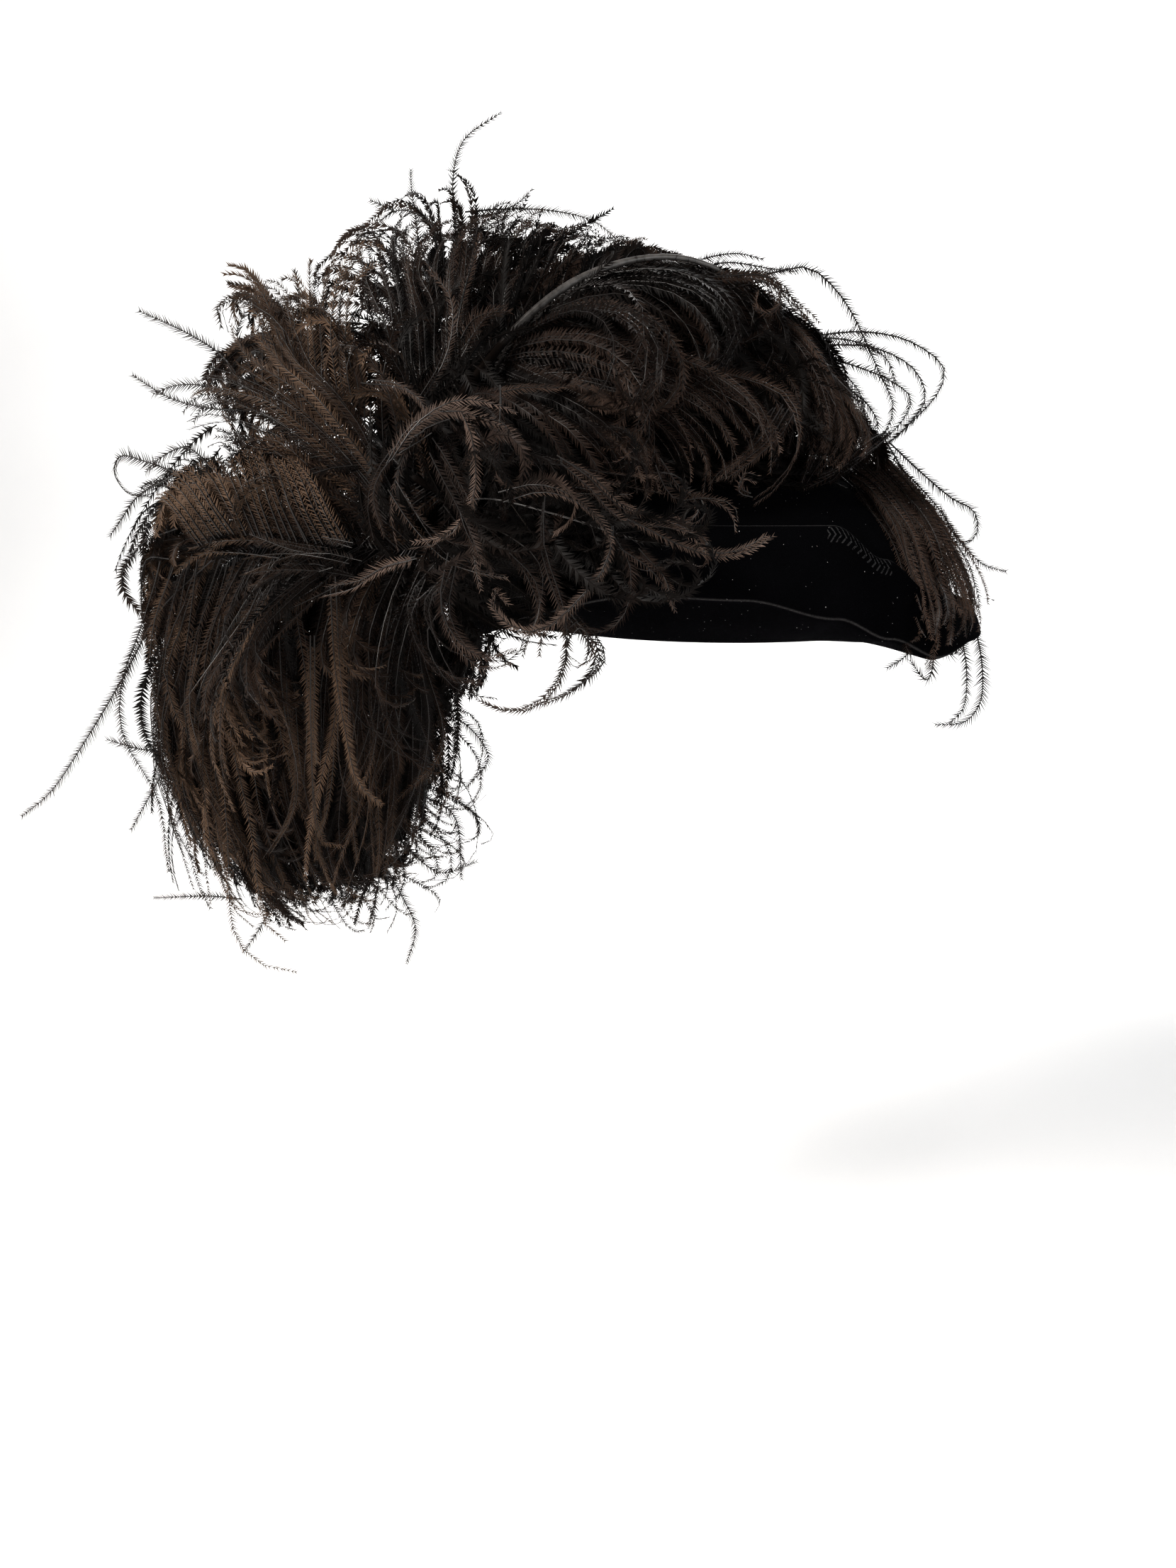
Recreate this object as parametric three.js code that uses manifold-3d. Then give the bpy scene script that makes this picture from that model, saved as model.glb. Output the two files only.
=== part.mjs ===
// Feathered velvet cap: a low soft crown inside a turned-up cuff, trimmed on the wearer's right with
// curled ostrich plumes that arch over the crown, fan out and hang beside it, as it sits on a head.
// Millimetres, +Z up, the wearer faces -Y. The origin is the middle of the head opening.
import * as THREE from 'three';
import { mergeVertices } from 'three/addons/utils/BufferGeometryUtils.js';
import Module from 'manifold-3d';

const wasm = await Module();
wasm.setup();

// Velvet over a stiff net, and the gap between one piece and the next
const WALL = 2.2;
const GAP = 0.4;

// Half sizes of the head opening, of the crown at its widest and of the cuff's lower fold
const OPENING = { side: 80, front: 92, z: -5 };
const CROWN = { side: 104, front: 113, height: 68 };
const CUFF = { side: 113, front: 122, lean: 5 };
const AROUND = 36;

// The cuff's lower fold: angle from the front in degrees (+ is the wearer's left), height of the fold,
// height of the cuff above it, and how far a corner stands out of the oval
const CUFF_EDGE = [
  { at: -180, fold: -7, tall: 28, out: 0 },
  { at: -135, fold: -11, tall: 28, out: 0 },
  { at: -90, fold: -13, tall: 27, out: 1 },
  { at: -50, fold: 1, tall: 26, out: 0 },
  { at: -12, fold: 14, tall: 25, out: 0 },
  { at: 5, fold: 13, tall: 26, out: 0 },
  { at: 22, fold: 6, tall: 33, out: 0 },
  { at: 34, fold: -2, tall: 29, out: 0 },
  { at: 46, fold: -10, tall: 24, out: 3 },
  { at: 62, fold: -7, tall: 15, out: 1 },
  { at: 90, fold: -8, tall: 14, out: 0 },
  { at: 135, fold: -9, tall: 24, out: 0 },
  { at: 180, fold: -7, tall: 28, out: 0 },
];

// The crown's outline: share of the half width, and share of the height above the opening
const CROWN_LINE = [
  { wide: 0.0, high: 1.0 },
  { wide: 0.3, high: 0.985 },
  { wide: 0.55, high: 0.91 },
  { wide: 0.75, high: 0.77 },
  { wide: 0.9, high: 0.57 },
  { wide: 0.98, high: 0.38 },
  { wide: 1.0, high: 0.22 },
  { wide: 0.95, high: 0.08 },
  { wide: 0.88, high: 0.0 },
];

// Soft creases of the crown: angle and share of height at each end, depth and half breadth in mm
const CREASES = [
  { from: [20, 0.48], to: [52, 0.24], deep: 4, broad: 7 },
  { from: [20, 0.48], to: [-8, 0.92], deep: 3, broad: 9 },
  { from: [-60, 0.3], to: [-95, 0.85], deep: 3, broad: 11 },
  { from: [125, 0.35], to: [170, 0.9], deep: 3.5, broad: 12 },
  { from: [-140, 0.35], to: [-175, 0.85], deep: 3, broad: 12 },
];

// A lock is a strip of barbs: section sides, and thickness as a share of its width
const LOCK = { sides: 4, thick: 0.36 };
const QUILL = { sides: 4, steps: 8, tip: 1.2 };

// The plumes. A spine is the quill's line with its root first. Each row of locks runs from one share of
// the spine to another; its locks leave the quill at the sweep angle towards aim, sag by droop, and
// curl through an angle towards a direction. Two-number columns go from the row's first lock to its last.
const PLUMES = [
  {
    name: 'plume_arch', quill: 2.6, steps: 5,
    spine: [[-72, -62, 52], [-98, -74, 78], [-84, -74, 100], [-52, -66, 127], [-14, -52, 135], [22, -40, 117],
      [40, -36, 96], [54, -34, 76]],
    rows: [
      { from: 0.18, to: 0.56, count: 4, length: [70, 22], sweep: [72, 50], aim: [-0.2, 0.6, 1], droop: 0.2,
        curl: 100, toward: [1, 0.4, -0.5], width: 28 },
      { from: 0.3, to: 0.97, count: 6, length: [120, 40], sweep: [44, 26], aim: [0.5, -0.5, -0.3], droop: 0.8,
        curl: 60, toward: [-0.4, 0.1, -1], width: 29 },
      { from: 0.16, to: 0.55, count: 4, length: [84, 92], sweep: [66, 54], aim: [0.7, -0.5, -0.9], droop: 0.6,
        curl: 70, toward: [0.7, 0.3, -0.6], width: 28 },
    ],
  },
  {
    name: 'plume_crest', quill: 2.6, steps: 4,
    spine: [[-82, -46, 48], [-112, -48, 66], [-126, -36, 96], [-124, -16, 126], [-108, 8, 144], [-95, 20, 147]],
    rows: [
      { from: 0.25, to: 0.92, count: 5, length: [76, 48], sweep: [50, 40], aim: [-1, 0.1, 0.3], droop: 0.3,
        curl: 90, toward: [-0.8, -0.2, -1], width: 30 },
      { from: 0.3, to: 1, count: 4, length: [62, 30], sweep: [56, 24], aim: [1, 0.1, 0], droop: 0.2,
        curl: 80, toward: [1, 0, -0.8], width: 32 },
      { from: 0.4, to: 0.8, count: 2, length: [66, 56], sweep: [46, 36], aim: [-0.4, -1, 0.2], droop: 0.4,
        curl: 80, toward: [-0.4, -0.6, -1], width: 28 },
      { from: 0.76, to: 0.76, count: 1, length: [70, 70], sweep: [56, 56], aim: [-0.1, -0.1, 1], droop: 0,
        curl: 36, toward: [1, 0, -0.3], width: 4 },
    ],
  },
  {
    name: 'plume_fan', quill: 2.4, steps: 4,
    spine: [[-80, -74, 44], [-112, -84, 54], [-135, -76, 74], [-156, -62, 96], [-178, -48, 112]],
    rows: [
      { from: 0.28, to: 0.97, count: 4, length: [74, 50], sweep: [62, 24], aim: [0.5, 0.3, 1], droop: 0.2,
        curl: 90, toward: [-0.6, 0, -1], width: 31 },
      { from: 0.25, to: 0.97, count: 5, length: [84, 50], sweep: [50, 30], aim: [-0.6, -0.3, -0.7], droop: 0.3,
        curl: 80, toward: [-0.4, 0, -1], width: 28 },
      { from: 0.75, to: 0.75, count: 1, length: [84, 84], sweep: [20, 20], aim: [-1, 0, 0], droop: 0,
        curl: 40, toward: [-0.3, 0, -1], width: 4 },
    ],
  },
  {
    name: 'plume_side', quill: 2.6, steps: 4,
    spine: [[-84, -84, 34], [-123, -92, 29], [-150, -95, 33], [-190, -86, 24], [-210, -72, 0], [-216, -60, -40],
      [-206, -52, -92]],
    rows: [
      { from: 0.14, to: 0.6, count: 5, length: [88, 36], sweep: [58, 42], aim: [-0.2, 0.1, 1], droop: 0.15,
        curl: 60, toward: [-1, 0, -0.5], width: 28 },
      { from: 0.14, to: 0.97, count: 6, length: [96, 66], sweep: [56, 40], aim: [0.5, -0.5, -1], droop: 0.8,
        curl: 30, toward: [0.7, 0, -0.4], width: 31 },
      { from: 0.62, to: 0.97, count: 3, length: [34, 44], sweep: [34, 22], aim: [-1, 0.1, 0.1], droop: 0.5,
        curl: 50, toward: [-0.2, 0, -1], width: 25 },
      { from: 0.69, to: 0.69, count: 1, length: [132, 132], sweep: [49, 49], aim: [-1, 0, 0.2], droop: 0.1,
        curl: 14, toward: [-0.3, 0, -1], width: 4 },
    ],
  },
  {
    name: 'plume_drop', quill: 2.6, steps: 4,
    spine: [[-92, -50, 30], [-126, -44, 26], [-154, -32, 6], [-174, -22, -34], [-180, -16, -74], [-172, -12, -106]],
    rows: [
      { from: 0.2, to: 0.97, count: 5, length: [80, 56], sweep: [54, 44], aim: [1, -0.3, -0.3], droop: 0.7,
        curl: 60, toward: [1, 0, 0.2], width: 31 },
      { from: 0.25, to: 1, count: 5, length: [80, 60], sweep: [48, 34], aim: [-0.9, -0.6, -0.1], droop: 0.8,
        curl: 40, toward: [0.4, 0, -0.5], width: 32 },
      { from: 0.4, to: 1, count: 2, length: [66, 50], sweep: [44, 16], aim: [-0.6, 0.9, 0.1], droop: 0.8,
        curl: 40, toward: [0.4, 0, -0.5], width: 30 },
      { from: 0.9, to: 0.9, count: 1, length: [66, 66], sweep: [20, 20], aim: [1, 0, -0.2], droop: 0.5,
        curl: 20, toward: [0.2, 0, -1], width: 4 },
    ],
  },
  {
    name: 'plume_curls', quill: 2, steps: 5,
    spine: [[-78, -94, 36], [-98, -112, 44], [-80, -132, 48], [-52, -140, 42], [-26, -140, 34]],
    rows: [
      { from: 0.1, to: 0.97, count: 5, length: [110, 70], sweep: [66, 40], aim: [-0.1, -0.4, -1], droop: 0.7,
        curl: 150, toward: [1, -0.1, 0.6], width: 20 },
      { from: 0.15, to: 0.9, count: 4, length: [80, 60], sweep: [60, 36], aim: [0.1, 0.2, 1], droop: 0.3,
        curl: 120, toward: [0.9, -0.2, -1], width: 25 },
      { from: 0.8, to: 1, count: 2, length: [62, 56], sweep: [30, 10], aim: [0, 0, 1], droop: 0.2,
        curl: 110, toward: [0.2, -0.2, 1], width: 15 },
    ],
  },
  {
    name: 'plume_tail', quill: 2.2, steps: 4,
    spine: [[-64, -40, 62], [-40, -8, 88], [0, 14, 98], [30, 16, 84], [56, 6, 64], [80, -10, 40], [92, -28, 14],
      [97, -38, -2]],
    rows: [
      { from: 0.3, to: 0.97, count: 4, length: [72, 22], sweep: [40, 20], aim: [0.3, -0.8, 0], droop: 0.8,
        curl: 30, toward: [-0.2, 0.2, -1], width: 24 },
      { from: 0.2, to: 0.97, count: 5, length: [56, 22], sweep: [44, 22], aim: [0.9, 0.3, 0.3], droop: 0.9,
        curl: 70, toward: [-0.3, 0, -1], width: 24 },
      { from: 0.2, to: 0.6, count: 2, length: [60, 50], sweep: [50, 40], aim: [0.3, 0.9, 0.3], droop: 0.9,
        curl: 60, toward: [-0.3, 0, -1], width: 26 },
    ],
  },
];

const radians = THREE.MathUtils.degToRad;
const vector = (p) => new THREE.Vector3(p[0], p[1], p[2]);
const mix = (pair, share) => THREE.MathUtils.lerp(pair[0], pair[1], share);

// A smooth value from a table by its key column, round the full turn
function around(table, angle, column) {
  let i = 0;
  while (i < table.length - 2 && angle > table[i + 1].at) i += 1;
  const [a, b] = [table[i], table[i + 1]];
  const share = THREE.MathUtils.smoothstep(angle, a.at, b.at);
  return THREE.MathUtils.lerp(a[column], b[column], share);
}

// Degrees from the front, + towards the wearer's left
function angleOf(x, y) {
  return THREE.MathUtils.radToDeg(Math.atan2(x, -y));
}

// How far the wavy lower fold lifts a point: none at the head opening, all of it at the fold
function lift(angle, share) {
  return (around(CUFF_EDGE, angle, 'fold') - OPENING.z) * THREE.MathUtils.clamp(share, 0, 1);
}

// Turns a lathe about Z and moves each of its points by a function
function drape(profile, move) {
  const geometry = new THREE.LatheGeometry(profile, AROUND);
  geometry.rotateX(Math.PI / 2);
  const position = geometry.getAttribute('position');
  for (let i = 0; i < position.count; i += 1) {
    const p = new THREE.Vector3().fromBufferAttribute(position, i);
    const moved = move(p);
    position.setXYZ(i, moved.x, moved.y, moved.z);
  }
  return geometry;
}

// Depth of the crown's creases at an angle and a share of its height
function creaseDepth(angle, high) {
  let depth = 0;
  for (const { from, to, deep, broad } of CREASES) {
    const scale = radians(1) * CROWN.side;
    const along = [(to[0] - from[0]) * scale, (to[1] - from[1]) * CROWN.height];
    const turn = THREE.MathUtils.euclideanModulo(angle - from[0] + 180, 360) - 180;
    const offset = [turn * scale, (high - from[1]) * CROWN.height];
    const span = along[0] ** 2 + along[1] ** 2;
    const share = THREE.MathUtils.clamp((offset[0] * along[0] + offset[1] * along[1]) / span, 0, 1);
    const off = Math.hypot(offset[0] - share * along[0], offset[1] - share * along[1]);
    depth += deep * Math.sin(Math.PI * (0.15 + 0.7 * share)) * Math.exp(-((off / broad) ** 2));
  }
  return depth;
}

// The soft crown: one closed wall from the top to its gathered edge, open below
function crown(grow = 0) {
  const outer = CROWN_LINE.map(({ wide, high }) => new THREE.Vector2(wide, high));
  const curve = new THREE.SplineCurve(outer).getPoints(9);
  const wallSide = (WALL + 2 * grow) / CROWN.side;
  const wallHigh = (WALL + 2 * grow) / CROWN.height;
  const growSide = grow / CROWN.side;
  const growHigh = grow / CROWN.height;
  const out = curve.map((p) => new THREE.Vector2(p.x * (1 + growSide), p.y + growHigh));
  const back = out.map((p, i) => {
    const ahead = curve[Math.min(i + 1, curve.length - 1)];
    const behind = curve[Math.max(i - 1, 0)];
    const normal = new THREE.Vector2(behind.y - ahead.y, ahead.x - behind.x).normalize();
    return new THREE.Vector2(Math.max(p.x - normal.x * wallSide, 0), p.y - normal.y * wallHigh);
  });
  back[0].x = 0;
  out[0].x = 0;
  const edge = back.length - 1;
  back[edge].y = out[edge].y;
  const base = OPENING.z + WALL + 2 * GAP - grow;
  return drape([...out, ...back.reverse()].reverse(), ({ x, y, z }) => {
    const angle = angleOf(x, y);
    const high = THREE.MathUtils.clamp(z, 0, 1);
    const share = (Math.hypot(x, y) * CROWN.side) / CUFF.side;
    const inward = 1 - (creaseDepth(angle, high) * Math.min(1, 3 * share)) / CROWN.side;
    const px = x * CROWN.side * inward;
    const py = y * CROWN.front * inward;
    const fall = 1 - 0.0022 * px - 0.38 * THREE.MathUtils.smoothstep(px, 52, 110);
    const reach = (share - OPENING.side / CUFF.side) / (1 - OPENING.side / CUFF.side);
    const wave = lift(angle, reach) * (1 - high) ** 2;
    return new THREE.Vector3(px, py, base + z * (CROWN.height - base) * fall + wave);
  });
}

// The cuff: one wall that runs out from the head opening to the lower fold and turns up round the crown
function cuff() {
  const inner = OPENING.side / CUFF.side;
  const wall = WALL / CUFF.side;
  const top = 1 - CUFF.lean / CUFF.side;
  // Columns: share of the half width, share of the way from the fold to the cuff's top edge
  const line = [
    [inner, 0], [(inner + 1) / 2, -0.02], [0.975, -0.02], [0.995, 0.03], [1, 0.12], [(1 + top) / 2 + 0.008, 0.5],
    [top, 0.97], [top - wall / 2, 1], [top - wall, 0.97], [(1 + top) / 2 + 0.008 - wall, 0.5], [1 - wall, 0.17],
    [0.97, 0.08], [(inner + 1) / 2, 0.08], [inner, 0.08], [inner, 0],
  ];
  const profile = line.map(([wide, high]) => new THREE.Vector2(wide, high));
  return drape(profile, ({ x, y, z }) => {
    const angle = angleOf(x, y);
    const share = Math.hypot(x, y);
    const reach = THREE.MathUtils.clamp((share - inner) / (1 - inner), 0, 1);
    const tall = around(CUFF_EDGE, angle, 'tall');
    const wallHeight = z <= 0.08 && share < 0.96 ? z * (WALL / 0.08) : z * tall;
    const out = 1 + (around(CUFF_EDGE, angle, 'out') / CUFF.side) * reach;
    const rise = z > 0.1 || share > 0.96 ? lift(angle, 1) : lift(angle, reach);
    return new THREE.Vector3(x * CUFF.side * out, y * CUFF.front * out, OPENING.z + rise + wallHeight);
  });
}

// The line of one lock: a point for each step, and the directions of its width
function lockLine(root, tangent, { length, sweep, aim, droop, curl, toward, steps }) {
  const side = vector(aim).addScaledVector(tangent, -vector(aim).dot(tangent)).normalize();
  const direction = tangent.clone().multiplyScalar(Math.cos(radians(sweep)));
  direction.addScaledVector(side, Math.sin(radians(sweep)));
  const axis = new THREE.Vector3().crossVectors(direction, vector(toward)).normalize();
  const step = length / steps;
  const weights = Array.from({ length: steps }, (_, k) => (k + 1) ** 2);
  const total = weights.reduce((sum, w) => sum + w, 0);
  const points = [root.clone()];
  for (const weight of weights) {
    direction.z -= (droop * step) / 100;
    direction.normalize().applyAxisAngle(axis, (radians(curl) * weight) / total);
    points.push(points.at(-1).clone().addScaledVector(direction, step));
  }
  return points;
}

// A closed strip bent along points: its width starts along widthAxis and is carried on with the bends
function strip(points, widthAxis, halfWidth, halfThick, sides) {
  const steps = points.length - 1;
  const geometry = new THREE.CylinderGeometry(1, 1, 1, sides, steps);
  const across = widthAxis.clone();
  const frames = points.map((p, k) => {
    const ahead = points[Math.min(k + 1, steps)];
    const behind = points[Math.max(k - 1, 0)];
    const tangent = ahead.clone().sub(behind).normalize();
    across.addScaledVector(tangent, -across.dot(tangent)).normalize();
    return { across: across.clone(), up: new THREE.Vector3().crossVectors(across, tangent) };
  });
  const position = geometry.getAttribute('position');
  for (let i = 0; i < position.count; i += 1) {
    const k = Math.round((position.getY(i) + 0.5) * steps);
    const p = points[k].clone();
    p.addScaledVector(frames[k].across, position.getX(i) * halfWidth(k / steps));
    p.addScaledVector(frames[k].up, position.getZ(i) * halfThick(k / steps));
    position.setXYZ(i, p.x, p.y, p.z);
  }
  return geometry;
}

function solid(geometry) {
  const bare = geometry.clone();
  bare.deleteAttribute('normal');
  bare.deleteAttribute('uv');
  const merged = mergeVertices(bare, 1e-3);
  const vertProperties = merged.getAttribute('position').array;
  const triVerts = new Uint32Array(merged.index.array);
  return new wasm.Manifold(new wasm.Mesh({ numProp: 3, vertProperties, triVerts }));
}

// A plume: its quill with every lock joined on. grow thickens it, for cutting a neighbour with a gap
function plume({ quill, steps, spine, rows }, grow = 0) {
  const curve = new THREE.CatmullRomCurve3(spine.map(vector), false, 'centripetal');
  const line = Array.from({ length: QUILL.steps + 1 }, (_, k) => curve.getPointAt(k / QUILL.steps));
  const radius = (s) => THREE.MathUtils.lerp(quill, QUILL.tip, s) + grow;
  const firstTangent = curve.getTangentAt(0);
  const start = new THREE.Vector3(firstTangent.y, -firstTangent.x, 0.1).normalize();
  let whole = solid(strip(line, start, radius, radius, QUILL.sides));
  for (const row of rows) {
    for (let i = 0; i < row.count; i += 1) {
      const share = row.count > 1 ? i / (row.count - 1) : 0;
      const at = mix([row.from, row.to], share);
      const tangent = curve.getTangentAt(at);
      const length = mix(row.length, share);
      const points = lockLine(curve.getPointAt(at), tangent, { ...row, length, sweep: mix(row.sweep, share), steps });
      const taper = (s) => Math.min(0.55 + 3 * s, 1) * Math.sqrt(Math.max(1 - s ** 3, 0));
      const halfWidth = (s) => (row.width / 2) * taper(s) + 0.7 + grow;
      const halfThick = (s) => (row.width / 2) * LOCK.thick * taper(s) + 0.5 + grow;
      whole = whole.add(solid(strip(points, tangent, halfWidth, halfThick, LOCK.sides)));
    }
  }
  return whole;
}

// The largest body of a solid, which drops the crumbs that a cut leaves
function largest(whole) {
  return whole.decompose().reduce((best, part) => (part.volume() > best.volume() ? part : best));
}

function geometryOf(whole) {
  const { vertProperties, triVerts } = whole.getMesh();
  const geometry = new THREE.BufferGeometry();
  geometry.setAttribute('position', new THREE.BufferAttribute(vertProperties, 3));
  geometry.setIndex(new THREE.BufferAttribute(triVerts, 1));
  geometry.computeVertexNormals();
  return geometry;
}

const velvet = () => new THREE.MeshStandardMaterial({ color: 0x08080a, roughness: 0.95, metalness: 0 });
const feather = () => new THREE.MeshStandardMaterial({ color: 0x2a211c, roughness: 0.75, metalness: 0 });

function piece(name, geometry, material) {
  const mesh = new THREE.Mesh(geometry, material);
  mesh.name = name;
  return mesh;
}

// Cuts each plume clear of the cap, of its neighbours' quills and of the plumes before it
function clearPlumes() {
  const capBody = solid(crown(GAP)).add(solid(cuff()));
  const quills = PLUMES.map((p) => plume({ ...p, rows: [] }));
  const wideQuills = PLUMES.map((p) => plume({ ...p, rows: [] }, GAP));
  const done = [];
  return PLUMES.map((p, k) => {
    let whole = plume(p).subtract(capBody);
    wideQuills.forEach((quill, j) => {
      if (j !== k) whole = whole.subtract(quill);
    });
    done.forEach((earlier) => {
      whole = whole.subtract(earlier.subtract(quills[k]));
    });
    done.push(plume(p, GAP));
    return largest(whole);
  });
}

function cap() {
  const group = new THREE.Group();
  group.add(piece('crown', crown(), velvet()));
  group.add(piece('cuff', cuff(), velvet()));
  clearPlumes().forEach((whole, k) => {
    group.add(piece(PLUMES[k].name, geometryOf(whole), feather()));
  });
  return group;
}

export default cap();
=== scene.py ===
"""Looks of the feathered velvet cap: pile velvet crown and cuff, and ostrich plumes barb by barb."""
import math

import bpy
import numpy as np
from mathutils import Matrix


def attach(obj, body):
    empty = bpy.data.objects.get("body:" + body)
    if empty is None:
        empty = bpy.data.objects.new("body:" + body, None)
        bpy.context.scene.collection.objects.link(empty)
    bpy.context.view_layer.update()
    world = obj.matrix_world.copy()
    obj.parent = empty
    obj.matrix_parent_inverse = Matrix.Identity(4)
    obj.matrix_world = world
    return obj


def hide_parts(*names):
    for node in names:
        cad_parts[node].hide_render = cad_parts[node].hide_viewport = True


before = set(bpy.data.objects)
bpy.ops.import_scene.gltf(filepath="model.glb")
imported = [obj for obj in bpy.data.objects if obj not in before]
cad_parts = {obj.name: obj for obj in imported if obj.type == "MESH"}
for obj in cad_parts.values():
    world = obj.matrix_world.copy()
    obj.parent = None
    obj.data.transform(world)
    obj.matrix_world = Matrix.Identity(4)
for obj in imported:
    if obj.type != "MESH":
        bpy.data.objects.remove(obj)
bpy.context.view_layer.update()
MM = 0.001

# The same named sizes as the solids, in millimetres
WALL = 2.2
GAP = 0.4
OPENING = {"side": 80, "z": -5}
CROWN = {"side": 104, "front": 113, "height": 68}
CUFF = {"side": 113, "front": 122, "lean": 5}
CROWN_BASE = OPENING["z"] + WALL + 2 * GAP

# The cuff's lower fold: angle from the front, height of the fold, height of the cuff, stand-out
CUFF_EDGE = np.array([
    (-180, -7, 28, 0), (-135, -11, 28, 0), (-90, -13, 27, 1), (-50, 1, 26, 0), (-12, 14, 25, 0),
    (5, 13, 26, 0), (22, 6, 33, 0), (34, -2, 29, 0), (46, -10, 24, 3), (62, -7, 15, 1), (90, -8, 14, 0),
    (135, -9, 24, 0), (180, -7, 28, 0)], float)

# The crown's outline: share of the half width, share of the height
CROWN_LINE = np.array([
    (0, 1), (0.3, 0.985), (0.55, 0.91), (0.75, 0.77), (0.9, 0.57), (0.98, 0.38), (1, 0.22), (0.95, 0.08),
    (0.88, 0)])

# Soft creases of the crown: angle and share of height at each end, depth and half breadth
CREASES = [
    ((20, 0.48), (52, 0.24), 4, 7), ((20, 0.48), (-8, 0.92), 3, 9), ((-60, 0.3), (-95, 0.85), 3, 11),
    ((125, 0.35), (170, 0.9), 3.5, 12), ((-140, 0.35), (-175, 0.85), 3, 12)]

# Barbs: radius of a stem, space between barbules, and a barbule's half foot as a share of that space
STEM = 0.3
COARSE, FINE = ((1.2, 1.15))
FULL, SLIM = 0.56, 0.34
BARBS_PER_LOCK = 42
ROW_STEPS = 11
FAN_RINGS = 16
STRAY_RINGS = 22
FIRST_SEED = 11

# A barb is the paler the higher its tint, and fluff is the length of its barbules; besides the barbs' own
# tone, tint also paints light: highlights on the palest locks, and shade on the deeper barbs of a fan


def row(start, end, count, length, sweep, aim, droop, curl, toward, mess=1, dense=1, pale=0, clumps=3,
        pull=0.3, hook=70, fluff=3.9):
    """Barbs that leave the quill between two shares of it, many for each of the solids' locks.

    Length and sweep run from the first barb's to the last's. A barb leaves along aim, sinks by droop, and
    bends toward a given way, by the angle curl and at its tip by hook.
    """
    return {"kind": "row", "from": start, "to": end, "count": count, "length": length, "sweep": sweep,
            "aim": aim, "droop": droop, "curl": curl, "toward": toward, "mess": mess, "dense": dense,
            "pale": pale, "clumps": clumps, "pull": pull, "hook": hook, "fluff": fluff, "stem": STEM,
            "spacing": COARSE, "foot": FULL, "roam": 1.0, "gloss": pale > -0.25}


def with_depth(flat, root, tip):
    """Points in millimetres from x, z pairs, whose depth y runs evenly from the root's to the tip's."""
    steps = len(flat) // 2 - 1
    depth = np.round(root + (tip - root) * np.arange(steps + 1) / steps)
    return np.stack([flat[::2], depth, flat[1::2]], axis=1)


def fan(count, loose, tint, fluff, depths, *lines, stem=STEM, free=False):
    """Barbs side by side from the first line to the last, with one pair of depths for all or one for each."""
    pairs = depths if isinstance(depths, list) else [depths] * len(lines)
    return {"kind": "fan", "lines": [with_depth(line, *pair) for line, pair in zip(lines, pairs)],
            "count": count, "loose": loose, "tint": tint, "fluff": fluff, "stem": stem, "spacing": FINE,
            "free": free, "foot": 0.32 if tint > 0 else FULL, "roam": 0.25 if stem > STEM else 0.7,
            "gloss": tint > 0.2}


def lock(count, near, far, tint, fluff, depths, *line):
    """Barbs that lie together along a line, and how far they spread near the root and far from it."""
    return {"kind": "lock", "line": with_depth(line, *depths), "count": count, "near": near, "far": far,
            "tint": tint, "fluff": fluff, "stem": STEM, "spacing": FINE, "foot": SLIM if count < 8 else FULL,
            "roam": 1.0, "gloss": tint > 0.2}


def stray(*line):
    """One thick barb that stands out alone, along x, y, z points."""
    return {"kind": "stray", "line": np.reshape(line, (-1, 3)), "fluff": 4.4, "stem": 0.42, "spacing": 1.0,
            "foot": SLIM, "roam": 0.2, "gloss": True}


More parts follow.
